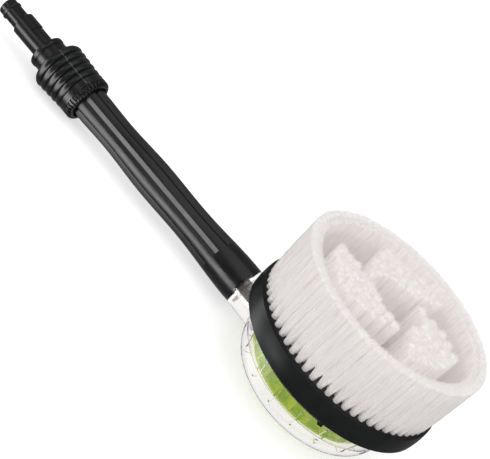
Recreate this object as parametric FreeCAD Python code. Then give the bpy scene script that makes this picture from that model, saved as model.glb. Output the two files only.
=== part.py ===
import FreeCAD, Part
import math
import os

# Rotating wash brush that a water jet drives, in millimetres.
# The head axis is Z, and the origin is where it meets the flat base of the clear dome.
# The brush lies on its back, on that base and on the ribbed grip, with its bristles up.
# The handle runs from the head towards -X. A station is a distance from the head axis along it.

# Head, from the band around it inwards
RIM_RADIUS = 80.0
RIM_THICKNESS = 2.6
RIM_HEIGHT = 17.5
RIM_SWELL = 0.5
RIM_BEVEL = 0.8
RIM_RUNNING_GAP = 3.4
FLANGE_WIDTH = 4.0
FLANGE_THICKNESS = 3.0
HOUSING_HEIGHT = 40.6

# Clear turbine housing
DOME_FLARE = 5.5
DOME_CORNER_RADIUS = 20.5
DOME_WALL = 2.5
HOUSING_RIBS = 18
RIB_THICKNESS = 1.2
RIB_DEPTH = 4.0
RIB_FIRST_ANGLE = 5.0
RIB_FOOT_HEIGHT = 13.0
AXLE_BOSS_RADIUS = 8.0
AXLE_BOSS_TOP = 12.0
NECK_LENGTH = 20.0
NECK_BLEND_RADIUS = 2.0
NECK_WALL = 2.6
NECK_FLARE = 0.9
NECK_SADDLE_WIDTH = 22.0
JET_TUBE_RADIUS = 9.0
NECK_PLUG_RADIUS = 12.0
NECK_PLUG_LENGTH = 13.5
NECK_END_WALL = 4.5

# Gear deck, its gasket and its clips
GASKET_THICKNESS = 1.0
GASKET_WIDTH = 3.0
DECK_THICKNESS = 2.4
DECK_CENTRE_HOLE_RADIUS = 9.5
DECK_PORTS = 6
DECK_PORT_RADIUS = 4.0
DECK_PORT_INSET = 4.5
CLIP_WIDTH = 3.7
CLIP_THICKNESS = 1.3
CLIP_HOOK_LENGTH = 2.2
CLIP_HOOK_HEIGHT = 1.5
CLIP_ANGLES = (293.0, 53.0, 162.0)

# Gear train: sun on the turbine, planets on fixed pins, ring under the brush
GEAR_MODULE = 1.25
SUN_TEETH = 12
PLANET_TEETH = 30
PLANETS = 3
PRESSURE_ANGLE = 20.0
ADDENDUM_FACTOR = 0.8
DEDENDUM_FACTOR = 1.1
BACKLASH = 0.16
PLANET_HEIGHT = 7.7
GEAR_FLOOR_GAP = 0.3
RING_GEAR_FLOOR_GAP = 1.3
PLANET_PIN_RADIUS = 2.5
PIN_FLOOR = 0.6
RETAINER_RADIUS = 4.5
RETAINER_THICKNESS = 0.8
RING_GEAR_WALL = 3.2

# Turbine and axle
AXLE_RADIUS = 4.0
AXLE_SEAT_DEPTH = 7.0
TURBINE_GAP = 10.5
TURBINE_FOOT_GAP = 4.0
TURBINE_HEIGHT = 20.0
TURBINE_HUB_RADIUS = 8.0
TURBINE_HUB_RISE = 2.5
TURBINE_WEB_THICKNESS = 2.0
TURBINE_FLOOR_THICKNESS = 1.6
BLADES = 24
BLADE_DEPTH = 9.0
BLADE_SWEEP = 7.0
BLADE_ANGLE_WIDTH = 1.6
DRUM_WALL = 1.6
BUSH_WALL = 2.0
BUSH_LENGTH = 5.0
THRUST_WASHER_RADIUS = 7.0
THRUST_WASHER_THICKNESS = 0.9
PINION_COLLAR_RADIUS = 8.0

# Brush plate, cap and screw
PLATE_THICKNESS = 4.5
PLATE_HUB_RADIUS = 9.0
PLATE_HUB_RISE = 2.2
OUTLETS = 12
OUTLET_RADIUS = 2.0
OUTLET_INSET = 18.5
CAP_RADIUS = 12.0
CAP_HEIGHT = 9.0
CAP_WALL = 1.8
SCREW_RADIUS = 2.0
SCREW_LENGTH = 12.0
SCREW_HEAD_RADIUS = 4.2
SCREW_HEAD_HEIGHT = 2.0
WASHER_RADIUS = 8.0
WASHER_THICKNESS = 1.0

# Bristle tufts
BRISTLE_LENGTH = 51.7
RING_TUFTS = 66
TUFT_ROOT_RADIUS = 1.9
TUFT_RADIUS = 2.9
TUFT_FLARE_LENGTH = 14.0
TUFT_CROWN = 1.2
OUTER_ROW_ROOT_INSET = 4.8
OUTER_ROW_TIP_INSET = 3.6
SECOND_ROW_ROOT_INSET = 10.4
SECOND_ROW_TIP_INSET = 8.6
CLUMPS = 3
CLUMP_ROWS = 5
CLUMP_INSET = 27.4
CLUMP_ROW_STEP = 6.9
CLUMP_TUFT_STEP = 6.5
CLUMP_ANGLE = 180.0
CLUMP_EDGE_DISTANCE = 17.6
CLUMP_EDGE_ANGLE = 81.5
CLUMP_TAIL_ANGLE = 115.0
CLUMP_TAIL_FAR_ANGLE = 67.0

# Handle: its side passes through these radii at these shares of its length
HANDLE_LENGTH = 185.5
HANDLE_FRONT_RADIUS = 16.3
HANDLE_NARROWEST = 13.2
HANDLE_SIDE = (
    (0.0, HANDLE_FRONT_RADIUS),
    (0.154, 15.5),
    (0.235, 14.6),
    (0.353, 14.1),
    (0.569, 14.65),
    (0.795, HANDLE_NARROWEST),
    (0.892, 13.6),
    (1.0, 14.0),
)
HANDLE_BORE_RADIUS = 9.2
GROOVES = 7
GROOVE_DEPTH = 1.9
GROOVE_FLANK_ANGLE = 24.6
GROOVE_CUTTER_RISE = 1.0
GROOVE_FRONT_LENGTH = 27.8
GROOVE_REAR_LENGTH = 2.0
GROOVE_FIRST_ANGLE = 39.2

# Water pipe, swivel bush and seals
PIPE_RADIUS = 6.0
PIPE_BORE_RADIUS = 4.2
PIPE_END_LENGTH = 27.0
PIPE_SOCKET_LENGTH = 14.0
PIPE_SOCKET_END_LENGTH = 30.0
NOZZLE_GAP = 3.0
NOZZLE_LENGTH = 14.8
NOZZLE_BORE_RADIUS = 2.0
NOZZLE_JET_ANGLE = 32.0
SWIVEL_BUSH_LENGTH = 19.0
SWIVEL_FLANGE_RADIUS = 12.3
SWIVEL_FLANGE_THICKNESS = 2.5
SWIVEL_SEAL_SECTION = 0.85
FRONT_SEAL_SECTION = 0.9
FRONT_SEAL_DEPTH = 5.5

# Hose adapter: plug, collar, ribbed grip and knurled ring
GRIP_RADIUS = 21.1
GRIP_TAPER = 1.3
GRIP_RIBS = 5
GRIP_RIB_PITCH = 5.7
GRIP_RIB_HEIGHT = 1.6
GRIP_FLANGE_RADIUS = 19.5
GRIP_TAIL_GAP = 2.0
GRIP_FIRST_RIB_LENGTH = 31.0
GRIP_LENGTH = 35.0
GRIP_SHOULDER = 3.6
CORE_RADIUS = 15.0
CORE_INSET = 8.0
COLLAR_NECK_RADIUS = 13.9
COLLAR_NECK_LENGTH = 8.3
COLLAR_RADIUS = 14.4
COLLAR_LENGTH = 4.5
COLLAR_ROUNDING = 1.3
COLLAR_GROOVE = 0.4
PLUG_BODY_LENGTH = 27.8
PLUG_BODY_RADIUS = 9.2
PLUG_LENGTH = 48.2
PLUG_RADIUS = 7.4
PLUG_NOSE_RADIUS = 7.5
PLUG_ROUNDING = 0.8
PLUG_BORE_RADIUS = 3.4
O_RING_LENGTH = 42.0
O_RING_OUTER_RADIUS = 8.3
O_RING_SECTION = 1.3
LUG_RADIUS = 9.9
LUG_LENGTH = 14.3
LUG_OVERHANG = 2.0
LUG_ANGLE = 77.0
LUG_FIRST_ANGLE = -50.6
NARROW_LUG_ANGLE = 58.0
STEM_RADIUS = 6.5
STEM_END_LENGTH = 1.5
STEM_CLIP_RADIUS = 8.6
STEM_CLIP_THICKNESS = 2.0
STEM_GROOVE_DEPTH = 1.0
KNURL_RADIUS = 19.5
KNURL_DEPTH = 0.9
KNURL_TEETH = 40
KNURL_LENGTH = 6.5
KNURL_ROUNDING = 3.0
KNURL_LEAD_ANGLE = 35.0
KNURL_BORE_RADIUS = 15.6
KNURL_TAIL_GAP = 0.5
KNURL_SPIGOT_BORE_RADIUS = 13.7

# Clearances
FIT = 0.05
RUNNING_FIT = 0.06
SIDE_PLAY = 0.2
RIM_GAP = 1.0

# Radii that follow from the band
PLATE_RADIUS = RIM_RADIUS - RIM_THICKNESS
FLANGE_RADIUS = PLATE_RADIUS - RIM_RUNNING_GAP
DOME_MOUTH_RADIUS = FLANGE_RADIUS - FLANGE_WIDTH
DOME_WAIST_RADIUS = DOME_MOUTH_RADIUS - DOME_FLARE
DECK_PORT_CIRCLE_RADIUS = DOME_WAIST_RADIUS - DECK_PORT_INSET
TURBINE_RADIUS = DOME_WAIST_RADIUS - TURBINE_GAP
DRUM_RADIUS = TURBINE_RADIUS - BLADE_DEPTH
OUTLET_CIRCLE_RADIUS = RIM_RADIUS - OUTLET_INSET

# Stations along the handle
NOZZLE_FRONT = TURBINE_RADIUS + NOZZLE_GAP
PIPE_FRONT = NOZZLE_FRONT + NOZZLE_LENGTH + SIDE_PLAY
HANDLE_FRONT = DOME_WAIST_RADIUS + NECK_LENGTH
HANDLE_TAIL = HANDLE_FRONT + HANDLE_LENGTH
FRONT_SEAL_STATION = HANDLE_FRONT + FRONT_SEAL_DEPTH
GROOVE_START = HANDLE_FRONT + GROOVE_FRONT_LENGTH
GROOVE_END = HANDLE_TAIL - GROOVE_REAR_LENGTH
PIPE_REAR = HANDLE_TAIL - PIPE_END_LENGTH
PIPE_SOCKET_REAR = HANDLE_TAIL - PIPE_SOCKET_END_LENGTH
GRIP_FRONT = HANDLE_TAIL + GRIP_TAIL_GAP
GRIP_REAR = GRIP_FRONT + GRIP_LENGTH
GRIP_FIRST_RIB = GRIP_FRONT + GRIP_FIRST_RIB_LENGTH
CORE_FRONT = GRIP_FRONT + CORE_INSET
CORE_REAR = GRIP_REAR - GRIP_SHOULDER
COLLAR_FRONT = GRIP_REAR + COLLAR_NECK_LENGTH
COLLAR_REAR = COLLAR_FRONT + COLLAR_LENGTH
PLUG_SHOULDER = COLLAR_REAR + PLUG_BODY_LENGTH
LUG_REAR = PLUG_SHOULDER + LUG_OVERHANG
LUG_FRONT = LUG_REAR - LUG_LENGTH
O_RING_STATION = COLLAR_REAR + O_RING_LENGTH
PLUG_TIP = COLLAR_REAR + PLUG_LENGTH

# Heights that follow from the stack
HANDLE_HEIGHT = GRIP_RADIUS
FLANGE_BOTTOM = HOUSING_HEIGHT - FLANGE_THICKNESS
DECK_BOTTOM = HOUSING_HEIGHT + GASKET_THICKNESS
DECK_TOP = DECK_BOTTOM + DECK_THICKNESS
PLANET_BOTTOM = DECK_TOP + GEAR_FLOOR_GAP
PLANET_TOP = PLANET_BOTTOM + PLANET_HEIGHT
RETAINER_BOTTOM = PLANET_TOP + SIDE_PLAY
RETAINER_TOP = RETAINER_BOTTOM + RETAINER_THICKNESS
PLATE_BOTTOM = RETAINER_TOP + RIM_GAP
PLATE_TOP = PLATE_BOTTOM + PLATE_THICKNESS
RIM_BOTTOM = PLATE_TOP - RIM_HEIGHT
PLATE_HUB_TOP = PLATE_TOP + PLATE_HUB_RISE
AXLE_TOP = PLATE_HUB_TOP + SIDE_PLAY
WASHER_TOP = AXLE_TOP + WASHER_THICKNESS
HUB_BOTTOM = AXLE_BOSS_TOP + THRUST_WASHER_THICKNESS + SIDE_PLAY / 2
TURBINE_FOOT = AXLE_BOSS_TOP + TURBINE_FOOT_GAP
TURBINE_WEB_TOP = TURBINE_FOOT + TURBINE_HEIGHT
HUB_TOP = TURBINE_WEB_TOP + TURBINE_HUB_RISE
BORE_OF_BUSH = AXLE_RADIUS + RUNNING_FIT
BUSH_RADIUS = BORE_OF_BUSH + BUSH_WALL
RING_TEETH = SUN_TEETH + 2 * PLANET_TEETH
CENTRE_DISTANCE = GEAR_MODULE * (SUN_TEETH + PLANET_TEETH) / 2
STEM_SHOULDER = HANDLE_TAIL + SWIVEL_FLANGE_THICKNESS + SIDE_PLAY
STEM_CLIP_STATION = HANDLE_TAIL - SWIVEL_BUSH_LENGTH - SIDE_PLAY - STEM_CLIP_THICKNESS
STEM_FRONT = STEM_CLIP_STATION - FIT - STEM_END_LENGTH
RING_GEAR_RADIUS = GEAR_MODULE * (RING_TEETH / 2 + DEDENDUM_FACTOR) + RING_GEAR_WALL

UP = FreeCAD.Vector(0, 0, 1)
TOWARDS_TIP = FreeCAD.Vector(-1, 0, 0)
ORIGIN = FreeCAD.Vector(0, 0, 0)
HANDLE_AXIS_FOOT = FreeCAD.Vector(0, 0, HANDLE_HEIGHT)


def outline_face(path, place):
    """Closed face of an outline: a pair is a straight run's end, two pairs an arc's middle and end."""
    corners = [place(*(step[-1] if isinstance(step[0], tuple) else step)) for step in path]
    edges = []
    for index, step in enumerate(path):
        start, end = corners[index - 1], corners[index]
        if isinstance(step[0], tuple):
            edges.append(Part.Arc(start, place(*step[0]), end).toShape())
        elif start.distanceToPoint(end) > 1e-7:
            edges.append(Part.LineSegment(start, end).toShape())
    return Part.Face(Part.Wire(edges))


def crown(radius, base, height):
    """Step of an outline that rounds off a rod's end with part of a sphere."""
    ball = (radius ** 2 + height ** 2) / (2 * height)
    half = math.asin(radius / ball) / 2
    return (ball * math.sin(half), base + height - ball * (1 - math.cos(half))), (0, base + height)


def turned_on_head(path):
    """Solid turned about the head axis from an outline of (radius, height)."""
    face = outline_face(path, lambda radius, height: FreeCAD.Vector(radius, 0, height))
    return face.revolve(ORIGIN, UP, 360)


def turned_on_handle(path):
    """Solid turned about the handle axis from an outline of (station, radius)."""
    face = outline_face(path, lambda station, radius: FreeCAD.Vector(-station, 0, HANDLE_HEIGHT + radius))
    return face.revolve(HANDLE_AXIS_FOOT, TOWARDS_TIP, 360)


def head_tube(outer, inner, bottom, top):
    """Plain tube on the head axis; an inner radius of 0 makes a rod."""
    return turned_on_head([(inner, bottom), (outer, bottom), (outer, top), (inner, top)])


def handle_tube_between(outer, inner, front, rear):
    """Plain tube on the handle axis between two stations; an inner radius of 0 makes a rod."""
    return turned_on_handle([(front, inner), (rear, inner), (rear, outer), (front, outer)])


def on_head_circle(shape, radius, angle):
    """Copy of a shape moved out to a radius and turned about the head axis."""
    copy = shape.copy()
    copy.translate(FreeCAD.Vector(radius, 0, 0))
    copy.rotate(ORIGIN, UP, angle)
    return copy


def circle_of(shape, radius, count, first=0.0):
    """List of equal copies of a shape on a circle around the head axis."""
    return [on_head_circle(shape, radius, first + index * 360.0 / count) for index in range(count)]


def around_handle(shape, count, first=0.0):
    """List of equal copies of a shape around the handle axis."""
    copies = []
    for index in range(count):
        copy = shape.copy()
        copy.rotate(HANDLE_AXIS_FOOT, TOWARDS_TIP, first + index * 360.0 / count)
        copies.append(copy)
    return copies


def union(shapes):
    """One solid from shapes that overlap or touch."""
    return shapes[0].multiFuse(shapes[1:]).removeSplitter()


def seal_ring(station, major, section):
    """Round seal on the handle axis."""
    return Part.makeTorus(major, section, FreeCAD.Vector(-station, 0, HANDLE_HEIGHT), TOWARDS_TIP)


def gear_outline(teeth, addendum, dedendum, widening, turn):
    """Flat face of a spur gear with involute flanks; widening thickens each tooth on the pitch circle."""
    pitch = GEAR_MODULE * teeth / 2
    base = pitch * math.cos(math.radians(PRESSURE_ANGLE))
    tip, root = pitch + addendum, pitch - dedendum
    flank_start = max(base, root)
    involute = lambda radius: math.sqrt((radius / base) ** 2 - 1) - math.acos(base / radius)
    half = math.pi / (2 * teeth) + widening / (2 * pitch) + involute(pitch)
    flank = [flank_start + (tip - flank_start) * step / 4 for step in range(5)]
    side = [(radius, half - involute(radius)) for radius in flank]
    if root < flank_start:
        side.insert(0, (root, side[0][1]))
    points = []
    for tooth in range(teeth):
        middle = math.radians(turn) + 2 * math.pi * tooth / teeth
        tooth_points = [(radius, middle - angle) for radius, angle in side]
        tooth_points += [(radius, middle + angle) for radius, angle in reversed(side)]
        points += [FreeCAD.Vector(r * math.cos(a), r * math.sin(a), 0) for r, a in tooth_points]
    return Part.Face(Part.makePolygon(points + points[:1]))


def gear(teeth, bottom, height, turn):
    """Spur gear with external teeth, its first tooth at an angle."""
    addendum = ADDENDUM_FACTOR * GEAR_MODULE
    dedendum = DEDENDUM_FACTOR * GEAR_MODULE
    face = gear_outline(teeth, addendum, dedendum, -BACKLASH / 2, turn)
    face.translate(UP * bottom)
    return face.extrude(UP * height)


def neck_outer_radius(station):
    """Outer radius of the clear neck, which widens from the handle towards the dome."""
    return HANDLE_FRONT_RADIUS + NECK_FLARE * (HANDLE_FRONT - station) / (HANDLE_FRONT - DOME_WAIST_RADIUS)


def dome_radius(height):
    """Outer radius of the dome's sloping wall at a height above its corner."""
    slope = (DOME_MOUTH_RADIUS - DOME_WAIST_RADIUS) / (FLANGE_BOTTOM - DOME_CORNER_RADIUS)
    return DOME_WAIST_RADIUS + slope * (height - DOME_CORNER_RADIUS)


def bowl_outline(inset, top):
    """Outline of the dome, inset by a wall thickness."""
    corner = DOME_CORNER_RADIUS - inset
    centre = DOME_WAIST_RADIUS - DOME_CORNER_RADIUS
    bend = corner * math.sqrt(0.5)
    return [
        (0, inset),
        (centre, inset),
        ((centre + bend, DOME_CORNER_RADIUS - bend), (centre + corner, DOME_CORNER_RADIUS)),
        (dome_radius(top) - inset, top),
        (0, top),
    ]


def clear_housing():
    """Clear dome with its flange, ribs, axle boss and the neck that plugs into the handle."""
    bowl = turned_on_head(bowl_outline(0.0, HOUSING_HEIGHT + 2 * NECK_BLEND_RADIUS))
    neck_start = DOME_WAIST_RADIUS - DOME_CORNER_RADIUS
    neck = turned_on_handle([
        (neck_start, 0),
        (neck_start, neck_outer_radius(neck_start)),
        (HANDLE_FRONT, neck_outer_radius(HANDLE_FRONT)),
        (HANDLE_FRONT, 0),
    ])
    shell = bowl.fuse(neck)
    joint = [edge for edge in shell.Edges if isinstance(edge.Curve, Part.BSplineCurve)]
    shell = shell.makeFillet(NECK_BLEND_RADIUS, joint)
    shell = shell.cut(head_tube(FLANGE_RADIUS - FLANGE_WIDTH / 4, 0, FLANGE_BOTTOM, 2 * HOUSING_HEIGHT))
    flange = head_tube(FLANGE_RADIUS, 0, FLANGE_BOTTOM, HOUSING_HEIGHT)
    saddle = Part.makeBox(
        FLANGE_RADIUS, NECK_SADDLE_WIDTH, FLANGE_BOTTOM + FLANGE_THICKNESS / 2 - HANDLE_HEIGHT,
        FreeCAD.Vector(-FLANGE_RADIUS - neck_start, -NECK_SADDLE_WIDTH / 2, HANDLE_HEIGHT),
    )
    saddle = saddle.common(head_tube(FLANGE_RADIUS, 0, 0, HOUSING_HEIGHT))
    hollow = turned_on_head(bowl_outline(DOME_WALL, HOUSING_HEIGHT + 1))
    cavity_end = HANDLE_FRONT - NECK_END_WALL
    neck_hollow = turned_on_handle([
        (neck_start, 0),
        (neck_start, neck_outer_radius(neck_start) - NECK_WALL),
        (cavity_end, neck_outer_radius(cavity_end) - NECK_WALL),
        (cavity_end, 0),
    ])
    shell = union([shell, saddle, flange]).cut(hollow).cut(neck_hollow)
    plug_end = HANDLE_FRONT + NECK_PLUG_LENGTH
    jet_tube = handle_tube_between(JET_TUBE_RADIUS, 0, NOZZLE_FRONT, HANDLE_FRONT)
    plug = handle_tube_between(NECK_PLUG_RADIUS, 0, cavity_end, plug_end)
    boss = head_tube(AXLE_BOSS_RADIUS, 0, DOME_WALL / 2, AXLE_BOSS_TOP)
    pipe_bore = handle_tube_between(PIPE_RADIUS + FIT, 0, NOZZLE_FRONT - 1, plug_end + 1)
    seal_major = PIPE_RADIUS + FIT + FRONT_SEAL_SECTION
    seal_groove = handle_tube_between(
        seal_major + FRONT_SEAL_SECTION + FIT,
        0,
        FRONT_SEAL_STATION - FRONT_SEAL_SECTION - FIT,
        FRONT_SEAL_STATION + FRONT_SEAL_SECTION + FIT,
    )
    axle_seat = head_tube(AXLE_RADIUS + FIT, 0, AXLE_BOSS_TOP - AXLE_SEAT_DEPTH, AXLE_BOSS_TOP + 1)
    shell = union([shell, jet_tube, plug, boss] + housing_ribs())
    return shell.cut(pipe_bore).cut(seal_groove).cut(axle_seat)


def housing_ribs():
    """Thin upright ribs on the dome's inner wall, left out where the neck opens into it."""
    slab = Part.makeBox(
        DOME_MOUTH_RADIUS, RIB_THICKNESS, FLANGE_BOTTOM - RIB_FOOT_HEIGHT,
        FreeCAD.Vector(0, -RIB_THICKNESS / 2, RIB_FOOT_HEIGHT),
    )
    outer = turned_on_head(bowl_outline(DOME_WALL / 2, HOUSING_HEIGHT))
    inner = turned_on_head(bowl_outline(DOME_WALL + RIB_DEPTH, HOUSING_HEIGHT + 1))
    rib = slab.common(outer).cut(inner)
    mouth = math.degrees(math.asin((neck_outer_radius(DOME_WAIST_RADIUS) + 1) / DOME_WAIST_RADIUS))
    ribs = []
    for index in range(HOUSING_RIBS):
        angle = RIB_FIRST_ANGLE + index * 360.0 / HOUSING_RIBS
        if abs(angle - 180.0) > mouth:
            ribs.append(on_head_circle(rib, 0, angle))
    return ribs


def deck_gasket():
    """Flat gasket between the housing's flange and the gear deck."""
    inner = DOME_MOUTH_RADIUS - DOME_WALL + 1
    return head_tube(inner + GASKET_WIDTH, inner, HOUSING_HEIGHT, DECK_BOTTOM)


def gear_deck():
    """Fixed plate over the turbine, which holds the planet pins and lets the water through."""
    deck = head_tube(FLANGE_RADIUS, DECK_CENTRE_HOLE_RADIUS, DECK_BOTTOM, DECK_TOP)
    port = Part.makeCylinder(DECK_PORT_RADIUS, DECK_THICKNESS + 2, UP * (DECK_BOTTOM - 1))
    pin_hole = Part.makeCylinder(PLANET_PIN_RADIUS + FIT, DECK_THICKNESS, UP * (DECK_BOTTOM + PIN_FLOOR))
    ports = circle_of(port, DECK_PORT_CIRCLE_RADIUS, DECK_PORTS, 180.0 / DECK_PORTS)
    pin_holes = circle_of(pin_hole, CENTRE_DISTANCE, PLANETS)
    return deck.cut(Part.makeCompound(ports + pin_holes))


def housing_clips():
    """Black spring clips that clamp the flange, the gasket and the deck together."""
    inside = FLANGE_RADIUS + FIT
    outside = inside + CLIP_THICKNESS
    mouth = FLANGE_RADIUS - CLIP_HOOK_LENGTH
    below = FLANGE_BOTTOM - FIT
    above = DECK_TOP + FIT
    outline = [
        (mouth, below),
        (inside, below),
        (inside, above),
        (mouth, above),
        (mouth, above + CLIP_HOOK_HEIGHT),
        (outside, above + CLIP_HOOK_HEIGHT),
        (outside, below - CLIP_HOOK_HEIGHT),
        (mouth, below - CLIP_HOOK_HEIGHT),
    ]
    face = outline_face(outline, lambda radius, height: FreeCAD.Vector(radius, -CLIP_WIDTH / 2, height))
    clip = face.extrude(FreeCAD.Vector(0, CLIP_WIDTH, 0))
    return Part.makeCompound([on_head_circle(clip, 0, angle) for angle in CLIP_ANGLES])


def axle():
    """Steel axle from the housing's boss to the brush plate's hub, tapped for the screw."""
    rod = head_tube(AXLE_RADIUS, 0, AXLE_BOSS_TOP - AXLE_SEAT_DEPTH + FIT, AXLE_TOP)
    return rod.cut(head_tube(SCREW_RADIUS + FIT, 0, AXLE_TOP - SCREW_LENGTH - 1, AXLE_TOP + 1))


def centre_screw():
    """Screw in the axle's end that keeps the brush on, with a slot for a driver."""
    shank = head_tube(SCREW_RADIUS, 0, AXLE_TOP - SCREW_LENGTH, WASHER_TOP)
    edge = WASHER_TOP + SCREW_HEAD_HEIGHT / 2
    head = turned_on_head([
        (0, WASHER_TOP),
        (SCREW_HEAD_RADIUS, WASHER_TOP),
        (SCREW_HEAD_RADIUS, edge),
        crown(SCREW_HEAD_RADIUS, edge, SCREW_HEAD_HEIGHT / 2),
    ])
    slot_width = SCREW_HEAD_RADIUS / 4
    slot = Part.makeBox(
        2 * SCREW_HEAD_RADIUS, slot_width, SCREW_HEAD_HEIGHT,
        FreeCAD.Vector(-SCREW_HEAD_RADIUS, -slot_width / 2, edge),
    )
    return union([shank, head]).cut(slot)


def turbine_wheel():
    """Lime wheel: hub, web, drum and floor ring, with swept paddles between web and floor ring."""
    web_bottom = TURBINE_WEB_TOP - TURBINE_WEB_THICKNESS
    hub = head_tube(TURBINE_HUB_RADIUS, BORE_OF_BUSH, HUB_BOTTOM, HUB_TOP)
    web = head_tube(TURBINE_RADIUS, BORE_OF_BUSH, web_bottom, TURBINE_WEB_TOP)
    web_middle = web_bottom + TURBINE_WEB_THICKNESS / 2
    floor_top = TURBINE_FOOT + TURBINE_FLOOR_THICKNESS
    drum = head_tube(DRUM_RADIUS, DRUM_RADIUS - DRUM_WALL, TURBINE_FOOT, web_middle)
    floor = head_tube(TURBINE_RADIUS, DRUM_RADIUS - DRUM_WALL, TURBINE_FOOT, floor_top)
    inner = DRUM_RADIUS - DRUM_WALL / 2
    middle = (inner + TURBINE_RADIUS) / 2
    curve = [(inner, 0.0), (middle, BLADE_SWEEP * 0.3), (TURBINE_RADIUS, BLADE_SWEEP)]

    def at(radius, angle):
        return radius * math.cos(math.radians(angle)), radius * math.sin(math.radians(angle))

    front = [at(radius, angle) for radius, angle in curve]
    back = [at(radius, angle + BLADE_ANGLE_WIDTH) for radius, angle in curve]
    face = outline_face(
        [front[0], (front[1], front[2]), back[2], (back[1], back[0])],
        lambda x, y: FreeCAD.Vector(x, y, TURBINE_FOOT),
    )
    blade = face.extrude(UP * (web_middle - TURBINE_FOOT))
    wheel = union([hub, web, drum, floor] + circle_of(blade, 0, BLADES))
    return wheel.cut(turbine_bush_seats())


def turbine_bush_seats():
    """Space that the two bushes take in the turbine's hub."""
    lower = head_tube(BUSH_RADIUS + FIT, 0, HUB_BOTTOM - 1, HUB_BOTTOM + BUSH_LENGTH)
    upper = head_tube(BUSH_RADIUS + FIT, 0, HUB_TOP - BUSH_LENGTH, HUB_TOP + 1)
    return Part.makeCompound([lower, upper])


def turbine_bushes():
    """Two plain bushes in the turbine's hub, which run on the axle."""
    lower = head_tube(BUSH_RADIUS, BORE_OF_BUSH, HUB_BOTTOM, HUB_BOTTOM + BUSH_LENGTH)
    upper = head_tube(BUSH_RADIUS, BORE_OF_BUSH, HUB_TOP - BUSH_LENGTH, HUB_TOP)
    return Part.makeCompound([lower, upper])


def sun_pinion():
    """Small gear on the turbine's hub, whose collar passes through the deck."""
    collar = head_tube(PINION_COLLAR_RADIUS, 0, HUB_TOP, DECK_TOP)
    teeth = gear(SUN_TEETH, DECK_TOP, PLANET_TOP - DECK_TOP, 0.0)
    bore = head_tube(BORE_OF_BUSH + RUNNING_FIT, 0, HUB_TOP - 1, PLANET_TOP + 1)
    return union([collar, teeth]).cut(bore)


def planet_gear(index):
    """Planet gear in mesh with the sun and the ring: a gap faces the sun, and one faces the ring."""
    angle = index * 360.0 / PLANETS
    teeth = gear(PLANET_TEETH, PLANET_BOTTOM, PLANET_HEIGHT, 180.0 + 180.0 / PLANET_TEETH)
    bore = Part.makeCylinder(PLANET_PIN_RADIUS + RUNNING_FIT, PLANET_HEIGHT + 2, UP * (PLANET_BOTTOM - 1))
    return on_head_circle(teeth.cut(bore), CENTRE_DISTANCE, angle)


def planet_pins():
    """Three steel pins in the deck."""
    bottom = DECK_BOTTOM + PIN_FLOOR
    pin = Part.makeCylinder(PLANET_PIN_RADIUS, RETAINER_TOP + FIT - bottom, UP * bottom)
    return Part.makeCompound(circle_of(pin, CENTRE_DISTANCE, PLANETS))


def planet_retainers():
    """Three push-on washers that keep the planets on their pins."""
    ring = head_tube(RETAINER_RADIUS, PLANET_PIN_RADIUS + FIT, RETAINER_BOTTOM, RETAINER_TOP)
    return Part.makeCompound(circle_of(ring, CENTRE_DISTANCE, PLANETS))


def ring_gear():
    """Internal gear under the brush plate."""
    bottom = DECK_TOP + RING_GEAR_FLOOR_GAP
    blank = head_tube(RING_GEAR_RADIUS, 0, bottom, PLATE_BOTTOM)
    outward = DEDENDUM_FACTOR * GEAR_MODULE
    inward = ADDENDUM_FACTOR * GEAR_MODULE
    face = gear_outline(RING_TEETH, outward, inward, BACKLASH / 2, 180.0 / RING_TEETH)
    face.translate(UP * (bottom - 1))
    return blank.cut(face.extrude(UP * (PLATE_BOTTOM - bottom + 2)))


def brush_disc():
    """Turning plate that carries the tufts, with its hub and water outlets."""
    plate = head_tube(PLATE_RADIUS, 0, PLATE_BOTTOM, PLATE_TOP)
    hub = head_tube(PLATE_HUB_RADIUS, 0, PLATE_BOTTOM, PLATE_HUB_TOP)
    bore = head_tube(BUSH_RADIUS + FIT, 0, PLATE_BOTTOM - 1, PLATE_HUB_TOP + 1)
    outlet = Part.makeCylinder(OUTLET_RADIUS, PLATE_THICKNESS + 2, UP * (PLATE_BOTTOM - 1))
    outlets = circle_of(outlet, OUTLET_CIRCLE_RADIUS, OUTLETS, 180.0 / OUTLETS)
    return union([plate, hub]).cut(bore).cut(Part.makeCompound(outlets))


def brush_rim():
    """Black band around the plate, slightly swelled, bevelled at its top edge."""
    edge = RIM_RADIUS - RIM_SWELL
    wall_top = PLATE_TOP - 2 * RIM_BEVEL
    return turned_on_head([
        (PLATE_RADIUS, RIM_BOTTOM),
        (edge - RIM_BEVEL, RIM_BOTTOM),
        (edge, RIM_BOTTOM + RIM_BEVEL),
        ((RIM_RADIUS, (RIM_BOTTOM + wall_top) / 2), (edge, wall_top)),
        (edge - RIM_BEVEL, wall_top + RIM_BEVEL),
        (PLATE_RADIUS, PLATE_TOP),
    ])


def centre_cap():
    """Black cap pressed over the plate's hub, which hides the screw."""
    inside = PLATE_HUB_RADIUS + FIT
    shoulder = PLATE_TOP + CAP_HEIGHT * 3 / 4
    return turned_on_head([
        (inside, PLATE_TOP),
        (CAP_RADIUS, PLATE_TOP),
        (CAP_RADIUS, shoulder),
        crown(CAP_RADIUS, shoulder, CAP_HEIGHT / 4),
        (0, shoulder - CAP_WALL / 2),
        (inside, shoulder - CAP_WALL / 2),
    ])


def tuft(length):
    """Upright tuft: a gathered root, a flare, a straight stem and a crowned tip."""
    return turned_on_head([
        (0, 0),
        (TUFT_ROOT_RADIUS, 0),
        (TUFT_RADIUS, TUFT_FLARE_LENGTH),
        (TUFT_RADIUS, length - TUFT_CROWN),
        crown(TUFT_RADIUS, length - TUFT_CROWN, TUFT_CROWN),
    ])


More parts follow.
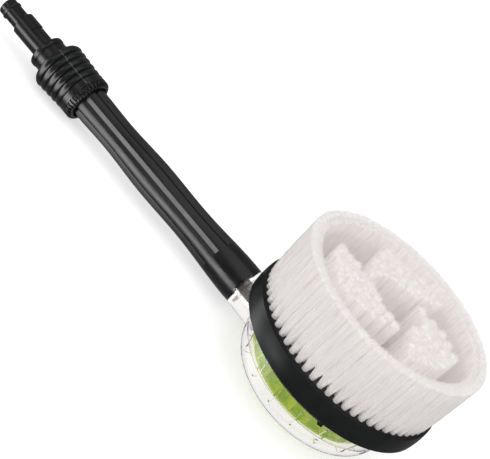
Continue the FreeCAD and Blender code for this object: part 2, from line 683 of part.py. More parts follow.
def tuft_row(root_inset, tip_inset, phase):
    """Ring of tufts that lean out from their root circle to their tip circle, both inside the band."""
    root_radius = RIM_RADIUS - root_inset
    tip_radius = RIM_RADIUS - tip_inset
    lean = math.degrees(math.atan2(tip_radius - root_radius, BRISTLE_LENGTH))
    one = tuft(BRISTLE_LENGTH)
    foot = TUFT_ROOT_RADIUS * math.tan(math.radians(lean))
    one.rotate(ORIGIN, FreeCAD.Vector(0, 1, 0), lean)
    one.translate(FreeCAD.Vector(root_radius, 0, PLATE_TOP + foot))
    return Part.makeCompound(circle_of(one, 0, RING_TUFTS, phase))


def clump_tufts(number):
    """One of the blade-shaped clumps inside the ring: rows of tufts between two edges.

    The inner edge is a straight line past the centre, and the outer edge falls back row by row.
    """
    one = tuft(BRISTLE_LENGTH - TUFT_CROWN)
    turn = CLUMP_ANGLE + number * 360.0 / CLUMPS
    tufts = []
    for row in range(CLUMP_ROWS):
        radius = RIM_RADIUS - CLUMP_INSET - (CLUMP_ROWS - 1 - row) * CLUMP_ROW_STEP
        start = CLUMP_EDGE_ANGLE - math.degrees(math.acos(CLUMP_EDGE_DISTANCE / radius))
        share = (row / (CLUMP_ROWS - 1)) ** 0.75
        end = CLUMP_TAIL_ANGLE + (CLUMP_TAIL_FAR_ANGLE - CLUMP_TAIL_ANGLE) * share
        steps = max(1, round(math.radians(end - start) * radius / CLUMP_TUFT_STEP))
        for step in range(steps + 1):
            place = on_head_circle(one, radius, turn + start + (end - start) * step / steps)
            place.translate(UP * PLATE_TOP)
            tufts.append(place)
    return Part.makeCompound(tufts)


def handle_curve(offset, front, rear):
    """Smooth line along the handle's side, offset outwards, between two stations."""
    shape = [(HANDLE_FRONT + share * HANDLE_LENGTH, radius) for share, radius in HANDLE_SIDE]
    line = Part.BSplineCurve()
    line.interpolate([FreeCAD.Vector(-station, 0, HANDLE_HEIGHT + radius) for station, radius in shape])
    ends = [FreeCAD.Vector(-station, 0, HANDLE_HEIGHT + HANDLE_NARROWEST) for station in (front, rear)]
    if (front, rear) != (HANDLE_FRONT, HANDLE_TAIL):
        line.segment(line.parameter(ends[0]), line.parameter(ends[1]))
    edge = line.toShape()
    edge.translate(UP * offset)
    return edge


def handle_tube():
    """Waisted handle with long grooves, a socket for the clear neck and a bore for the pipe."""
    side = handle_curve(0.0, HANDLE_FRONT, HANDLE_TAIL)
    front_foot = FreeCAD.Vector(-HANDLE_FRONT, 0, HANDLE_HEIGHT)
    tail_foot = FreeCAD.Vector(-HANDLE_TAIL, 0, HANDLE_HEIGHT)
    ends = [side.Vertexes[0].Point, side.Vertexes[-1].Point]
    wire = Part.Wire([
        side,
        Part.LineSegment(ends[1], tail_foot).toShape(),
        Part.LineSegment(tail_foot, front_foot).toShape(),
        Part.LineSegment(front_foot, ends[0]).toShape(),
    ])
    body = Part.Face(wire).revolve(HANDLE_AXIS_FOOT, TOWARDS_TIP, 360)
    bore = handle_tube_between(HANDLE_BORE_RADIUS, 0, HANDLE_FRONT - 1, HANDLE_TAIL + 1)
    socket = handle_tube_between(
        NECK_PLUG_RADIUS + FIT, 0, HANDLE_FRONT - 1, HANDLE_FRONT + NECK_PLUG_LENGTH + SIDE_PLAY,
    )
    grooves = around_handle(groove_cutter(), GROOVES, GROOVE_FIRST_ANGLE)
    return body.cut(Part.makeCompound(grooves)).cut(bore).cut(socket)


def groove_cutter():
    """Bar of triangular section that follows the handle's side and cuts one groove with two flat flanks."""
    path = handle_curve(0.0, GROOVE_START, GROOVE_END)
    start = path.Vertexes[0].Point
    half = (GROOVE_DEPTH + GROOVE_CUTTER_RISE) / math.tan(math.radians(GROOVE_FLANK_ANGLE))
    bottom = start - UP * GROOVE_DEPTH
    left = start + FreeCAD.Vector(0, half, GROOVE_CUTTER_RISE)
    right = start + FreeCAD.Vector(0, -half, GROOVE_CUTTER_RISE)
    section = Part.makePolygon([bottom, left, right, bottom])
    return Part.Wire(path).makePipeShell([section], True, False)


def water_pipe():
    """Pipe through the handle, from the swivel to the nozzle."""
    return handle_tube_between(PIPE_RADIUS, PIPE_BORE_RADIUS, PIPE_FRONT, PIPE_REAR)


def pipe_socket():
    """Plug in the handle's bore that holds the pipe's rear end."""
    front = PIPE_SOCKET_REAR - PIPE_SOCKET_LENGTH
    return handle_tube_between(HANDLE_BORE_RADIUS - FIT, PIPE_RADIUS + FIT, front, PIPE_SOCKET_REAR)


def jet_nozzle():
    """Insert in the jet tube that throws the water at the paddles off centre."""
    block = handle_tube_between(PIPE_RADIUS, 0, NOZZLE_FRONT, NOZZLE_FRONT + NOZZLE_LENGTH)
    inlet = handle_tube_between(PIPE_BORE_RADIUS, 0, PIPE_FRONT - NOZZLE_LENGTH / 3, PIPE_FRONT + 1)
    jet = Part.makeCylinder(NOZZLE_BORE_RADIUS, 4 * PIPE_RADIUS, ORIGIN, FreeCAD.Vector(1, 0, 0))
    jet.rotate(ORIGIN, UP, NOZZLE_JET_ANGLE)
    jet.translate(FreeCAD.Vector(-(PIPE_FRONT - NOZZLE_LENGTH / 4), -NOZZLE_BORE_RADIUS / 2, HANDLE_HEIGHT))
    return block.cut(inlet).cut(jet)


def swivel_bush():
    """Flanged bush in the handle's tail, in which the adapter's stem turns."""
    bore = STEM_RADIUS + RUNNING_FIT
    bush = turned_on_handle([
        (HANDLE_TAIL - SWIVEL_BUSH_LENGTH, bore),
        (HANDLE_TAIL - SWIVEL_BUSH_LENGTH, HANDLE_BORE_RADIUS - FIT),
        (HANDLE_TAIL, HANDLE_BORE_RADIUS - FIT),
        (HANDLE_TAIL, SWIVEL_FLANGE_RADIUS),
        (HANDLE_TAIL + SWIVEL_FLANGE_THICKNESS, SWIVEL_FLANGE_RADIUS),
        (HANDLE_TAIL + SWIVEL_FLANGE_THICKNESS, bore),
    ])
    station = HANDLE_TAIL - SWIVEL_BUSH_LENGTH / 2
    reach = SWIVEL_SEAL_SECTION + FIT
    groove = handle_tube_between(swivel_seal_major() + reach, 0, station - reach, station + reach)
    return bush.cut(groove)


def swivel_seal_major():
    """Radius of the swivel seal's middle line, which clears the stem."""
    return STEM_RADIUS + RUNNING_FIT + SWIVEL_SEAL_SECTION


def swivel_seal():
    """Seal around the stem, in the bush's groove."""
    return seal_ring(HANDLE_TAIL - SWIVEL_BUSH_LENGTH / 2, swivel_seal_major(), SWIVEL_SEAL_SECTION)


def front_seal():
    """Seal around the pipe's front end, in the neck."""
    return seal_ring(FRONT_SEAL_STATION, PIPE_RADIUS + FIT + FRONT_SEAL_SECTION, FRONT_SEAL_SECTION)


def spigot():
    """Bayonet plug: nose with a seal groove, stepped body, two lugs and the stem in the handle."""
    groove_floor = O_RING_OUTER_RADIUS - 2 * O_RING_SECTION - FIT
    groove_front = O_RING_STATION - O_RING_SECTION - FIT
    groove_rear = O_RING_STATION + O_RING_SECTION + FIT
    bend = PLUG_ROUNDING * 0.3
    body = turned_on_handle([
        (STEM_FRONT, PLUG_BORE_RADIUS),
        (STEM_FRONT, STEM_RADIUS),
        (STEM_SHOULDER, STEM_RADIUS),
        (STEM_SHOULDER, PLUG_BODY_RADIUS),
        (PLUG_SHOULDER, PLUG_BODY_RADIUS),
        (PLUG_SHOULDER + PLUG_ROUNDING, PLUG_RADIUS),
        (groove_front, PLUG_RADIUS),
        (groove_front, groove_floor),
        (groove_rear, groove_floor),
        (groove_rear, PLUG_NOSE_RADIUS),
        (PLUG_TIP - PLUG_ROUNDING, PLUG_NOSE_RADIUS),
        ((PLUG_TIP - bend, PLUG_NOSE_RADIUS - bend), (PLUG_TIP, PLUG_NOSE_RADIUS - PLUG_ROUNDING)),
        (PLUG_TIP, PLUG_BORE_RADIUS),
    ])
    lug_foot = (PLUG_BORE_RADIUS + PLUG_RADIUS) / 2
    lug_face = outline_face(
        [
            (LUG_FRONT, lug_foot),
            (LUG_FRONT, LUG_RADIUS),
            (LUG_REAR - PLUG_ROUNDING, LUG_RADIUS),
            (LUG_REAR, LUG_RADIUS - PLUG_ROUNDING),
            (LUG_REAR, lug_foot),
        ],
        lambda station, radius: FreeCAD.Vector(-station, 0, HANDLE_HEIGHT + radius),
    )
    wide_lug = lug_face.revolve(HANDLE_AXIS_FOOT, TOWARDS_TIP, LUG_ANGLE)
    wide_lug.rotate(HANDLE_AXIS_FOOT, TOWARDS_TIP, LUG_FIRST_ANGLE)
    narrow_lug = lug_face.revolve(HANDLE_AXIS_FOOT, TOWARDS_TIP, NARROW_LUG_ANGLE)
    narrow_lug.rotate(HANDLE_AXIS_FOOT, TOWARDS_TIP, LUG_FIRST_ANGLE + 180)
    clip_rear = STEM_CLIP_STATION + STEM_CLIP_THICKNESS + FIT
    groove_radius = STEM_RADIUS - STEM_GROOVE_DEPTH
    clip_seat = handle_tube_between(STEM_CLIP_RADIUS, groove_radius, STEM_CLIP_STATION - FIT, clip_rear)
    return union([body, wide_lug, narrow_lug]).cut(clip_seat)


def spigot_o_ring():
    """Round seal in the plug's nose."""
    return seal_ring(O_RING_STATION, O_RING_OUTER_RADIUS - O_RING_SECTION, O_RING_SECTION)


def stem_clip():
    """Circlip in the stem's groove, which keeps the adapter in its bush."""
    rear = STEM_CLIP_STATION + STEM_CLIP_THICKNESS
    inner = STEM_RADIUS - STEM_GROOVE_DEPTH + FIT
    return handle_tube_between(STEM_CLIP_RADIUS, inner, STEM_CLIP_STATION, rear)


def adapter_collar():
    """Collar and core around the plug, inside the ribbed grip."""
    inner = PLUG_BODY_RADIUS + FIT
    soft = COLLAR_ROUNDING
    bend = soft * 0.3
    neck = COLLAR_NECK_RADIUS
    return turned_on_handle([
        (CORE_FRONT, inner),
        (CORE_FRONT, CORE_RADIUS),
        (CORE_REAR, CORE_RADIUS),
        (CORE_REAR, neck),
        (COLLAR_FRONT - 3 * COLLAR_GROOVE, neck),
        (COLLAR_FRONT - 1.5 * COLLAR_GROOVE, neck - COLLAR_GROOVE),
        (COLLAR_FRONT, neck - COLLAR_GROOVE),
        (COLLAR_FRONT, COLLAR_RADIUS - soft),
        ((COLLAR_FRONT + bend, COLLAR_RADIUS - bend), (COLLAR_FRONT + soft, COLLAR_RADIUS)),
        (COLLAR_REAR - soft, COLLAR_RADIUS),
        ((COLLAR_REAR - bend, COLLAR_RADIUS - bend), (COLLAR_REAR, COLLAR_RADIUS - soft)),
        (COLLAR_REAR, inner),
    ])


def grip_sleeve():
    """Ribbed grip: a blunt rounded shoulder, rounded ribs with narrow valleys, and a flange."""
    inner = CORE_RADIUS + FIT
    neck = COLLAR_NECK_RADIUS + FIT
    half = GRIP_RIB_PITCH / 2
    crests = [
        (GRIP_FIRST_RIB - index * GRIP_RIB_PITCH, GRIP_RADIUS - GRIP_TAPER * index / (GRIP_RIBS - 1))
        for index in range(GRIP_RIBS)
    ]
    flange_rear = crests[-1][0] - half
    path = [(GRIP_FRONT, inner), (GRIP_FRONT, GRIP_FLANGE_RADIUS)]
    path.append((flange_rear - half / 3, GRIP_FLANGE_RADIUS))
    path.append((flange_rear, crests[-1][1] - GRIP_RIB_HEIGHT))
    for station, radius in reversed(crests[1:]):
        path.append(((station, radius), (station + half, radius - GRIP_RIB_HEIGHT)))
    station, radius = crests[0]
    shoulder = (GRIP_REAR - GRIP_SHOULDER * 0.65, GRIP_RADIUS - GRIP_RIB_HEIGHT * 0.4)
    corner = (GRIP_REAR - GRIP_SHOULDER * 0.1, GRIP_RADIUS - GRIP_RIB_HEIGHT * 2)
    path.append(((station, radius), shoulder))
    path.append(((GRIP_REAR - GRIP_SHOULDER * 0.3, GRIP_RADIUS - GRIP_RIB_HEIGHT * 0.9), corner))
    path.append((GRIP_REAR, neck + GRIP_RIB_HEIGHT / 2))
    path.append((GRIP_REAR, neck))
    path.append((CORE_REAR + FIT, neck))
    path.append((CORE_REAR + FIT, inner))
    return turned_on_handle(path)


def knurled_ring():
    """Knurled ring that closes the grip's open end around the handle."""
    rear = GRIP_FRONT
    front = rear - KNURL_LENGTH
    step = HANDLE_TAIL + KNURL_TAIL_GAP
    spigot_rear = CORE_FRONT - SIDE_PLAY
    bend = KNURL_ROUNDING * 0.3
    form = turned_on_handle([
        (front, KNURL_BORE_RADIUS),
        (front, KNURL_RADIUS - KNURL_ROUNDING),
        ((front + bend, KNURL_RADIUS - bend), (front + KNURL_ROUNDING, KNURL_RADIUS)),
        (rear, KNURL_RADIUS),
        (rear, CORE_RADIUS),
        (spigot_rear, CORE_RADIUS),
        (spigot_rear, KNURL_SPIGOT_BORE_RADIUS),
        (step, KNURL_SPIGOT_BORE_RADIUS),
        (step, KNURL_BORE_RADIUS),
    ])
    start = FreeCAD.Vector(-(front - 1), 0, HANDLE_HEIGHT + KNURL_RADIUS)
    bend_point = FreeCAD.Vector(-(front + KNURL_ROUNDING), 0, HANDLE_HEIGHT + KNURL_RADIUS)
    notch = Part.makeCylinder(KNURL_DEPTH, KNURL_LENGTH, start, TOWARDS_TIP)
    lead_in = notch.copy()
    lead_in.rotate(bend_point, FreeCAD.Vector(0, 1, 0), KNURL_LEAD_ANGLE)
    cutters = around_handle(notch.fuse(lead_in), KNURL_TEETH)
    return form.cut(Part.makeCompound(cutters))


def write(name, shape):
    """Write one node and say how many solids it holds."""
    solids = shape.Solids
    shape = solids[0] if len(solids) == 1 else Part.makeCompound(solids)
    shape.exportStep(os.path.join("parts", name + ".step"))
    print(name, "solids", len(solids), "volume", round(shape.Volume, 1), "valid", shape.isValid())


def main():
    os.makedirs("parts", exist_ok=True)
    write("handle_tube", handle_tube())
    write("water_pipe", water_pipe())
    write("pipe_socket", pipe_socket())
    write("swivel_bush", swivel_bush())
    write("swivel_seal", swivel_seal())
    write("front_seal", front_seal())
    write("jet_nozzle", jet_nozzle())
    write("clear_housing", clear_housing())
    write("axle", axle())
    write("thrust_washer", head_tube(
        THRUST_WASHER_RADIUS, AXLE_RADIUS + FIT, AXLE_BOSS_TOP, AXLE_BOSS_TOP + THRUST_WASHER_THICKNESS,
    ))
    write("deck_gasket", deck_gasket())
    write("gear_deck", gear_deck())
    write("housing_clips", housing_clips())
    write("planet_pins", planet_pins())
    write("planet_retainers", planet_retainers())
    write("brush_washer", head_tube(WASHER_RADIUS, SCREW_RADIUS + FIT, AXLE_TOP, WASHER_TOP))
    write("centre_screw", centre_screw())
    write("spigot", spigot())
    write("spigot_o_ring", spigot_o_ring())
    write("stem_clip", stem_clip())
    write("adapter_collar", adapter_collar())
    write("grip_sleeve", grip_sleeve())
    write("knurled_ring", knurled_ring())
    write("turbine_wheel", turbine_wheel())
    write("turbine_bushes", turbine_bushes())
    write("sun_pinion", sun_pinion())
    for index in range(PLANETS):
        write(f"planet_gear_{index + 1}", planet_gear(index))
    write("ring_gear", ring_gear())
    write("brush_disc", brush_disc())
    write("brush_bush", head_tube(BUSH_RADIUS, BORE_OF_BUSH, PLATE_BOTTOM, PLATE_HUB_TOP))
    write("brush_rim", brush_rim())
    write("centre_cap", centre_cap())
    write("outer_row_tufts", tuft_row(OUTER_ROW_ROOT_INSET, OUTER_ROW_TIP_INSET, 0.0))
    write("second_row_tufts", tuft_row(SECOND_ROW_ROOT_INSET, SECOND_ROW_TIP_INSET, 180.0 / RING_TUFTS))
    for number in range(CLUMPS):
        write(f"clump_{number + 1}_tufts", clump_tufts(number))


main()
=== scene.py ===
"""Looks of a water-driven rotating wash brush: clear housing, bristle head, grooved handle and hose plug."""

import logging
import math
import random
from dataclasses import dataclass, field
from enum import Enum
from typing import Any, Sequence

import bpy
from mathutils import Matrix, Vector


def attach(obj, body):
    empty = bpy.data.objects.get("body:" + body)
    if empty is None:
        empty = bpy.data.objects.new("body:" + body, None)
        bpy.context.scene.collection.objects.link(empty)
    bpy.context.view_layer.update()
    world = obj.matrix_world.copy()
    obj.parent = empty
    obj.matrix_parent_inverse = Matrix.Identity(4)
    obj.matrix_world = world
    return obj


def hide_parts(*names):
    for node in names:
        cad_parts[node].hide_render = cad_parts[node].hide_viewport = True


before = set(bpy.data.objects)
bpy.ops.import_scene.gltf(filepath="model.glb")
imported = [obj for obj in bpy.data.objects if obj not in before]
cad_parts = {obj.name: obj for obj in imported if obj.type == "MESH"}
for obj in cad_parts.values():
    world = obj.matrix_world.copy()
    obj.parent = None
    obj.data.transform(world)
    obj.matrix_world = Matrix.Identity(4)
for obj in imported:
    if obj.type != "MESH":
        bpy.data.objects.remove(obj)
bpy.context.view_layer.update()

LOG = logging.getLogger("wash_brush")
MM = 0.001
# Sizes of the part in millimetres, in its own frame.
HANDLE_AXIS_Z = 21.1
PLATE_TOP_Z = 58.5
BRISTLE_LENGTH = 51.7
RIM_RADIUS = 80.0
# Turn in radians between neighbours that fill a disc evenly.
GOLDEN_ANGLE = 2.39996
WHITE = "#ffffff"

Point = tuple[float, float, float]
Colour = tuple[float, float, float, float]


def linear(code: str) -> Colour:
    """Turns an sRGB hex colour into Blender's linear colour.

    Args:
        code: the colour as six hex digits with a leading hash.

    Returns:
        Red, green, blue and an alpha of 1.
    """
    parts = [int(code[i : i + 2], 16) / 255 for i in (1, 3, 5)]
    low = [c / 12.92 if c <= 0.04045 else ((c + 0.055) / 1.055) ** 2.4 for c in parts]
    return (low[0], low[1], low[2], 1.0)


def per_metre(size: float) -> float:
    """Number of marks of a size in millimetres along one metre."""
    return 1000.0 / size


def add_node(
    tree: bpy.types.NodeTree,
    kind: str,
    inputs: dict[Any, Any] | None = None,
    links: dict[Any, bpy.types.NodeSocket] | None = None,
    stops: Sequence[tuple[float, Colour]] = (),
    **settings: Any,
) -> bpy.types.Node:
    """Adds one shader node.

    Args:
        tree: the node tree it goes into.
        kind: Blender's type name of the node.
        inputs: values for input sockets, by name or index.
        links: output sockets that feed input sockets, by name or index.
        stops: places and colours of a colour ramp, from low to high.
        **settings: properties of the node itself.

    Returns:
        The new node.
    """
    node = tree.nodes.new(kind)
    for name, value in settings.items():
        setattr(node, name, value)
    for name, value in (inputs or {}).items():
        node.inputs[name].default_value = value
    for name, socket in (links or {}).items():
        tree.links.new(socket, node.inputs[name])
    if stops:
        elements = node.color_ramp.elements
        while len(elements) < len(stops):
            elements.new(0.5)
        for element, (place, colour) in zip(elements, stops):
            element.position = place
            element.color = colour
    return node


def empty_tree(owner: bpy.types.Material | bpy.types.World) -> bpy.types.NodeTree:
    """Switches on the nodes of a material or world and empties them.

    Args:
        owner: the material or world.

    Returns:
        Its node tree.
    """
    owner.use_nodes = True
    owner.node_tree.nodes.clear()
    return owner.node_tree


class Surface:
    """A finish that makes its material once and then shares it."""

    name: str
    colour: str

    def material(self) -> bpy.types.Material:
        """Makes the material once.

        Returns:
            The same material each time.
        """
        made = bpy.data.materials.get(self.name)
        if made is None:
            made = bpy.data.materials.new(self.name)
            made.diffuse_color = linear(self.colour)
            self.fill(empty_tree(made))
        return made

    def fill(self, tree: bpy.types.NodeTree) -> None:
        """Adds the nodes of the finish to an empty tree."""
        raise NotImplementedError


class Grain(Enum):
    """How a moulded or cut surface is textured."""

    SPARK = "fine pitted texture of a spark-eroded mould"
    FLOW = "faint flow marks of a polished mould"
    TURNED = "fine rings of a lathe tool"


# Size of the soft clouds in which a colour and its roughness vary.
CLOUD_MM = 11.11
# Levels of the clouds between which the colour, and the roughness, go from one end to the other.
TONE_LEVELS = (0.35, 0.65)
ROUGH_LEVELS = (0.3, 0.7)
# Rings and flow marks are too fine for the render, so they are drawn about six and eight times as coarse.
RING_DIVISOR = 20.0
FLOW_DIVISOR = 8.0
# A mould seam is drawn a little wider than it is, so that it shows, and paler, as a painted highlight along
# its ridge.
SEAM_HIGHLIGHT_COLOUR = "#4c4d4d"
SEAM_CORE_MM = 0.2
SEAM_EDGE_MM = 0.45
SEAM_HEIGHT_MM = 0.3


@dataclass(frozen=True)
class Finish(Surface):
    """One opaque surface: what it is made of, and how it takes the light.

    Attributes:
        name: name of the material.
        colour: its sRGB colour.
        shade: the darker or duller sRGB colour that it is mottled with.
        roughness: middle roughness.
        spread: how far the roughness varies to each side.
        grain: kind of texture.
        grain_mm: real size of one mark of that texture.
        depth_mm: depth of the texture.
        metallic: 1 for a bare metal.
        sockets: further fixed values of the shader.
        seam: angle in degrees around the handle axis of a thin mould seam, drawn with a painted highlight, or
            None.
    """

    name: str
    colour: str
    shade: str
    roughness: float
    spread: float = 0.06
    grain: Grain = Grain.SPARK
    grain_mm: float = 0.6
    depth_mm: float = 0.02
    metallic: float = 0.0
    sockets: dict[str, Any] = field(default_factory=dict)
    seam: float | None = None

    def fill(self, tree: bpy.types.NodeTree) -> None:
        """Adds the nodes of the finish.

        Args:
            tree: the material's empty node tree.
        """
        place = add_node(tree, "ShaderNodeTexCoord").outputs["Object"]
        size = {"Scale": per_metre(CLOUD_MM), "Detail": 3.0}
        cloud = add_node(tree, "ShaderNodeTexNoise", size, {"Vector": place}).outputs["Fac"]
        stops = list(zip(TONE_LEVELS, (linear(self.shade), linear(self.colour))))
        tone = add_node(tree, "ShaderNodeValToRGB", links={"Fac": cloud}, stops=stops).outputs["Color"]
        span = {
            "From Min": ROUGH_LEVELS[0],
            "From Max": ROUGH_LEVELS[1],
            "To Min": self.roughness - self.spread,
            "To Max": self.roughness + self.spread,
        }
        rough = add_node(tree, "ShaderNodeMapRange", span, {"Value": cloud}).outputs["Result"]
        relief = {"Strength": 0.6, "Distance": self.depth_mm * MM}
        marks = self.height(tree, place)
        normal = add_node(tree, "ShaderNodeBump", relief, {"Height": marks}).outputs["Normal"]
        if self.seam is not None:
            line = self.seam_mask(tree, place)
            # The seam's ridge is a real bump; its paler colour is a painted highlight along the ridge.
            seam_highlight = {"B": linear(SEAM_HIGHLIGHT_COLOUR)}
            tone = add_node(
                tree, "ShaderNodeMix", seam_highlight, {"Factor": line, "A": tone}, data_type="RGBA"
            ).outputs["Result"]
            ridge = {"Strength": 1.0, "Distance": SEAM_HEIGHT_MM * MM}
            normal = add_node(
                tree, "ShaderNodeBump", ridge, {"Height": line, "Normal": normal}
            ).outputs["Normal"]
        shader = add_node(
            tree,
            "ShaderNodeBsdfPrincipled",
            {"Metallic": self.metallic, **self.sockets},
            {"Base Color": tone, "Roughness": rough, "Normal": normal},
        )
        add_node(tree, "ShaderNodeOutputMaterial", links={"Surface": shader.outputs["BSDF"]})

    def height(self, tree: bpy.types.NodeTree, place: bpy.types.NodeSocket) -> bpy.types.NodeSocket:
        """Adds the nodes that give the texture's height.

        Args:
            tree: the material's node tree.
            place: coordinates in metres.

        Returns:
            The socket that holds the height.
        """
        marks = per_metre(self.grain_mm)
        if self.grain is Grain.TURNED:
            rings = {"Scale": marks / RING_DIVISOR, "Distortion": 0.4}
            return add_node(
                tree, "ShaderNodeTexWave", rings, {"Vector": place}, bands_direction="Z"
            ).outputs["Fac"]
        if self.grain is Grain.FLOW:
            flow = {"Scale": marks / FLOW_DIVISOR, "Detail": 1.0, "Distortion": 1.5}
            return add_node(tree, "ShaderNodeTexNoise", flow, {"Vector": place}).outputs["Fac"]
        return add_node(tree, "ShaderNodeTexVoronoi", {"Scale": marks}, {"Vector": place}).outputs["Distance"]

    def seam_mask(self, tree: bpy.types.NodeTree, place: bpy.types.NodeSocket) -> bpy.types.NodeSocket:
        """Adds the mask of the thin line that two mould halves leave along one side of a turned piece.

        Args:
            tree: the material's node tree.
            place: coordinates in metres.

        Returns:
            The socket that is 1 on the line.
        """
        angle = math.radians(self.seam)
        outwards = (0.0, math.cos(angle), math.sin(angle))
        sideways = (0.0, -math.sin(angle), math.cos(angle))
        axis = (0.0, 0.0, HANDLE_AXIS_Z * MM)
        from_axis = add_node(
            tree, "ShaderNodeVectorMath", {1: axis}, {0: place}, operation="SUBTRACT"
        ).outputs["Vector"]
        off, out = (
            add_node(
                tree, "ShaderNodeVectorMath", {1: direction}, {0: from_axis}, operation="DOT_PRODUCT"
            ).outputs["Value"]
            for direction in (sideways, outwards)
        )
        distance = add_node(tree, "ShaderNodeMath", links={0: off}, operation="ABSOLUTE").outputs["Value"]
        edge = {"From Min": SEAM_CORE_MM * MM, "From Max": SEAM_EDGE_MM * MM, "To Min": 1.0, "To Max": 0.0}
        line = add_node(tree, "ShaderNodeMapRange", edge, {"Value": distance}).outputs["Result"]
        near = add_node(tree, "ShaderNodeMath", {1: 0.0}, {0: out}, operation="GREATER_THAN").outputs["Value"]
        both = {0: line, 1: near}
        return add_node(tree, "ShaderNodeMath", links=both, operation="MULTIPLY").outputs["Value"]


# Black polypropylene, moulded in a spark-eroded tool: a dull sheen with long soft streaks of light.
BLACK_POLYPROPYLENE = Finish(
    "black polypropylene, spark texture", "#171818", "#121313", 0.28, 0.05, depth_mm=0.01,
    sockets={"IOR": 1.49, "Specular IOR Level": 0.36},
)
# The same plastic from a smoother tool, for the band around the head: dull, with one long soft highlight.
SATIN_POLYPROPYLENE = Finish(
    "black polypropylene, satin", "#252626", "#202121", 0.33, 0.04, depth_mm=0.006,
    sockets={"IOR": 1.49, "Specular IOR Level": 0.06},
)
# Thermoplastic rubber: soft to the hand, with a low broad sheen on each rib, and a thin mould seam whose
# paler line is a painted highlight.
BLACK_RUBBER = Finish(
    "black thermoplastic rubber, moulded", "#1b1c1c", "#171818", 0.25, 0.04, grain_mm=0.8, depth_mm=0.008,
    sockets={"IOR": 1.5, "Specular IOR Level": 0.3}, seam=126.8,
)
# Nitrile rubber: near black, with the smooth dull gloss of a seal.
NITRILE_RUBBER = Finish("nitrile rubber, moulded", "#151616", "#101111", 0.34, 0.05, Grain.FLOW, 1.0, 0.01)
# Silicone rubber: a warm brown with a waxy look.
BROWN_RUBBER = Finish("silicone rubber, brown", "#6b4a35", "#543826", 0.4, 0.05, Grain.FLOW, 1.0, 0.01)
# Acetal: dense white plastic with a waxy gloss.
WHITE_ACETAL = Finish(
    "acetal, moulded", "#e9e8e2", "#dfded7", 0.34, 0.05, Grain.FLOW, 2.0, 0.01,
    sockets={"IOR": 1.48, "Subsurface Weight": 0.1, "Subsurface Radius": (0.001, 0.001, 0.0008)},
)
# Lime polypropylene: bright, slightly translucent at its thin edges.
LIME_POLYPROPYLENE = Finish(
    "lime polypropylene, moulded", "#bcd60c", "#a6c009", 0.3, 0.05, Grain.FLOW, 3.0, 0.02,
    sockets={
        "IOR": 1.49,
        "Subsurface Weight": 0.15,
        "Subsurface Radius": (0.002, 0.002, 0.0005),
        # Painted light: an even glow in the lime's own colour, which brightens the wheel where the head
        # shades it.
        "Emission Color": linear("#b7d000"),
        "Emission Strength": 0.2,
    },
)
# Polyethylene tube: dark brown and dull, with faint marks of the die.
DARK_POLYETHYLENE = Finish("dark polyethylene tube, extruded", "#2a2521", "#221e1b", 0.4, grain=Grain.FLOW)
# Stainless steel: pale grey, with rings of the lathe tool that break up its gloss.
STAINLESS_STEEL = Finish(
    "stainless steel, turned", "#c9cbcc", "#b8babc", 0.28, 0.06, Grain.TURNED, 0.4, 0.01, 1.0
)
# Bearing bronze: a warm yellow metal with the same rings, and a little duller.
BEARING_BRONZE = Finish(
    "bearing bronze, turned", "#b58a4c", "#a57c42", 0.34, 0.06, Grain.TURNED, 0.4, 0.01, 1.0
)


@dataclass(frozen=True)
class ClearStyrene(Surface):
    """Clear moulded styrene: thin, bright, with faint flow marks and a slightly warm tint.

    Attributes:
        name: name of the material.
        colour: tint of the light that it refracts.
        shadow: tint of the light that falls through it.
        roughness: roughness of the polished mould.
        flow_mm: size of one flow mark.
        depth_mm: depth of the flow marks.
    """

    name: str = "clear styrene, polished mould"
    colour: str = "#fdfbfa"
    shadow: str = "#f6f3f2"
    roughness: float = 0.03
    flow_mm: float = 22.22
    depth_mm: float = 0.04

    def fill(self, tree: bpy.types.NodeTree) -> None:
        """Adds the nodes of the clear plastic.

        Args:
            tree: the material's empty node tree.
        """
        place = add_node(tree, "ShaderNodeTexCoord").outputs["Object"]
        size = {"Scale": per_metre(self.flow_mm), "Detail": 2.0}
        flow = add_node(tree, "ShaderNodeTexNoise", size, {"Vector": place}).outputs["Fac"]
        relief = {"Strength": 0.25, "Distance": self.depth_mm * MM}
        bump = add_node(tree, "ShaderNodeBump", relief, {"Height": flow})
        glass = add_node(
            tree,
            "ShaderNodeBsdfPrincipled",
            {
                "Base Color": linear(self.colour),
                "Roughness": self.roughness,
                "IOR": 1.45,
                "Transmission Weight": 1.0,
            },
            {"Normal": bump.outputs["Normal"]},
        )
        # Shadow rays pass, so that the wheel inside is lit as it is behind thin plastic.
        clear = add_node(tree, "ShaderNodeBsdfTransparent", {"Color": linear(self.shadow)})
        rays = add_node(tree, "ShaderNodeLightPath")
        mixed = add_node(
            tree,
            "ShaderNodeMixShader",
            links={0: rays.outputs["Is Shadow Ray"], 1: glass.outputs["BSDF"], 2: clear.outputs["BSDF"]},
        )
        add_node(tree, "ShaderNodeOutputMaterial", links={"Surface": mixed.outputs["Shader"]})


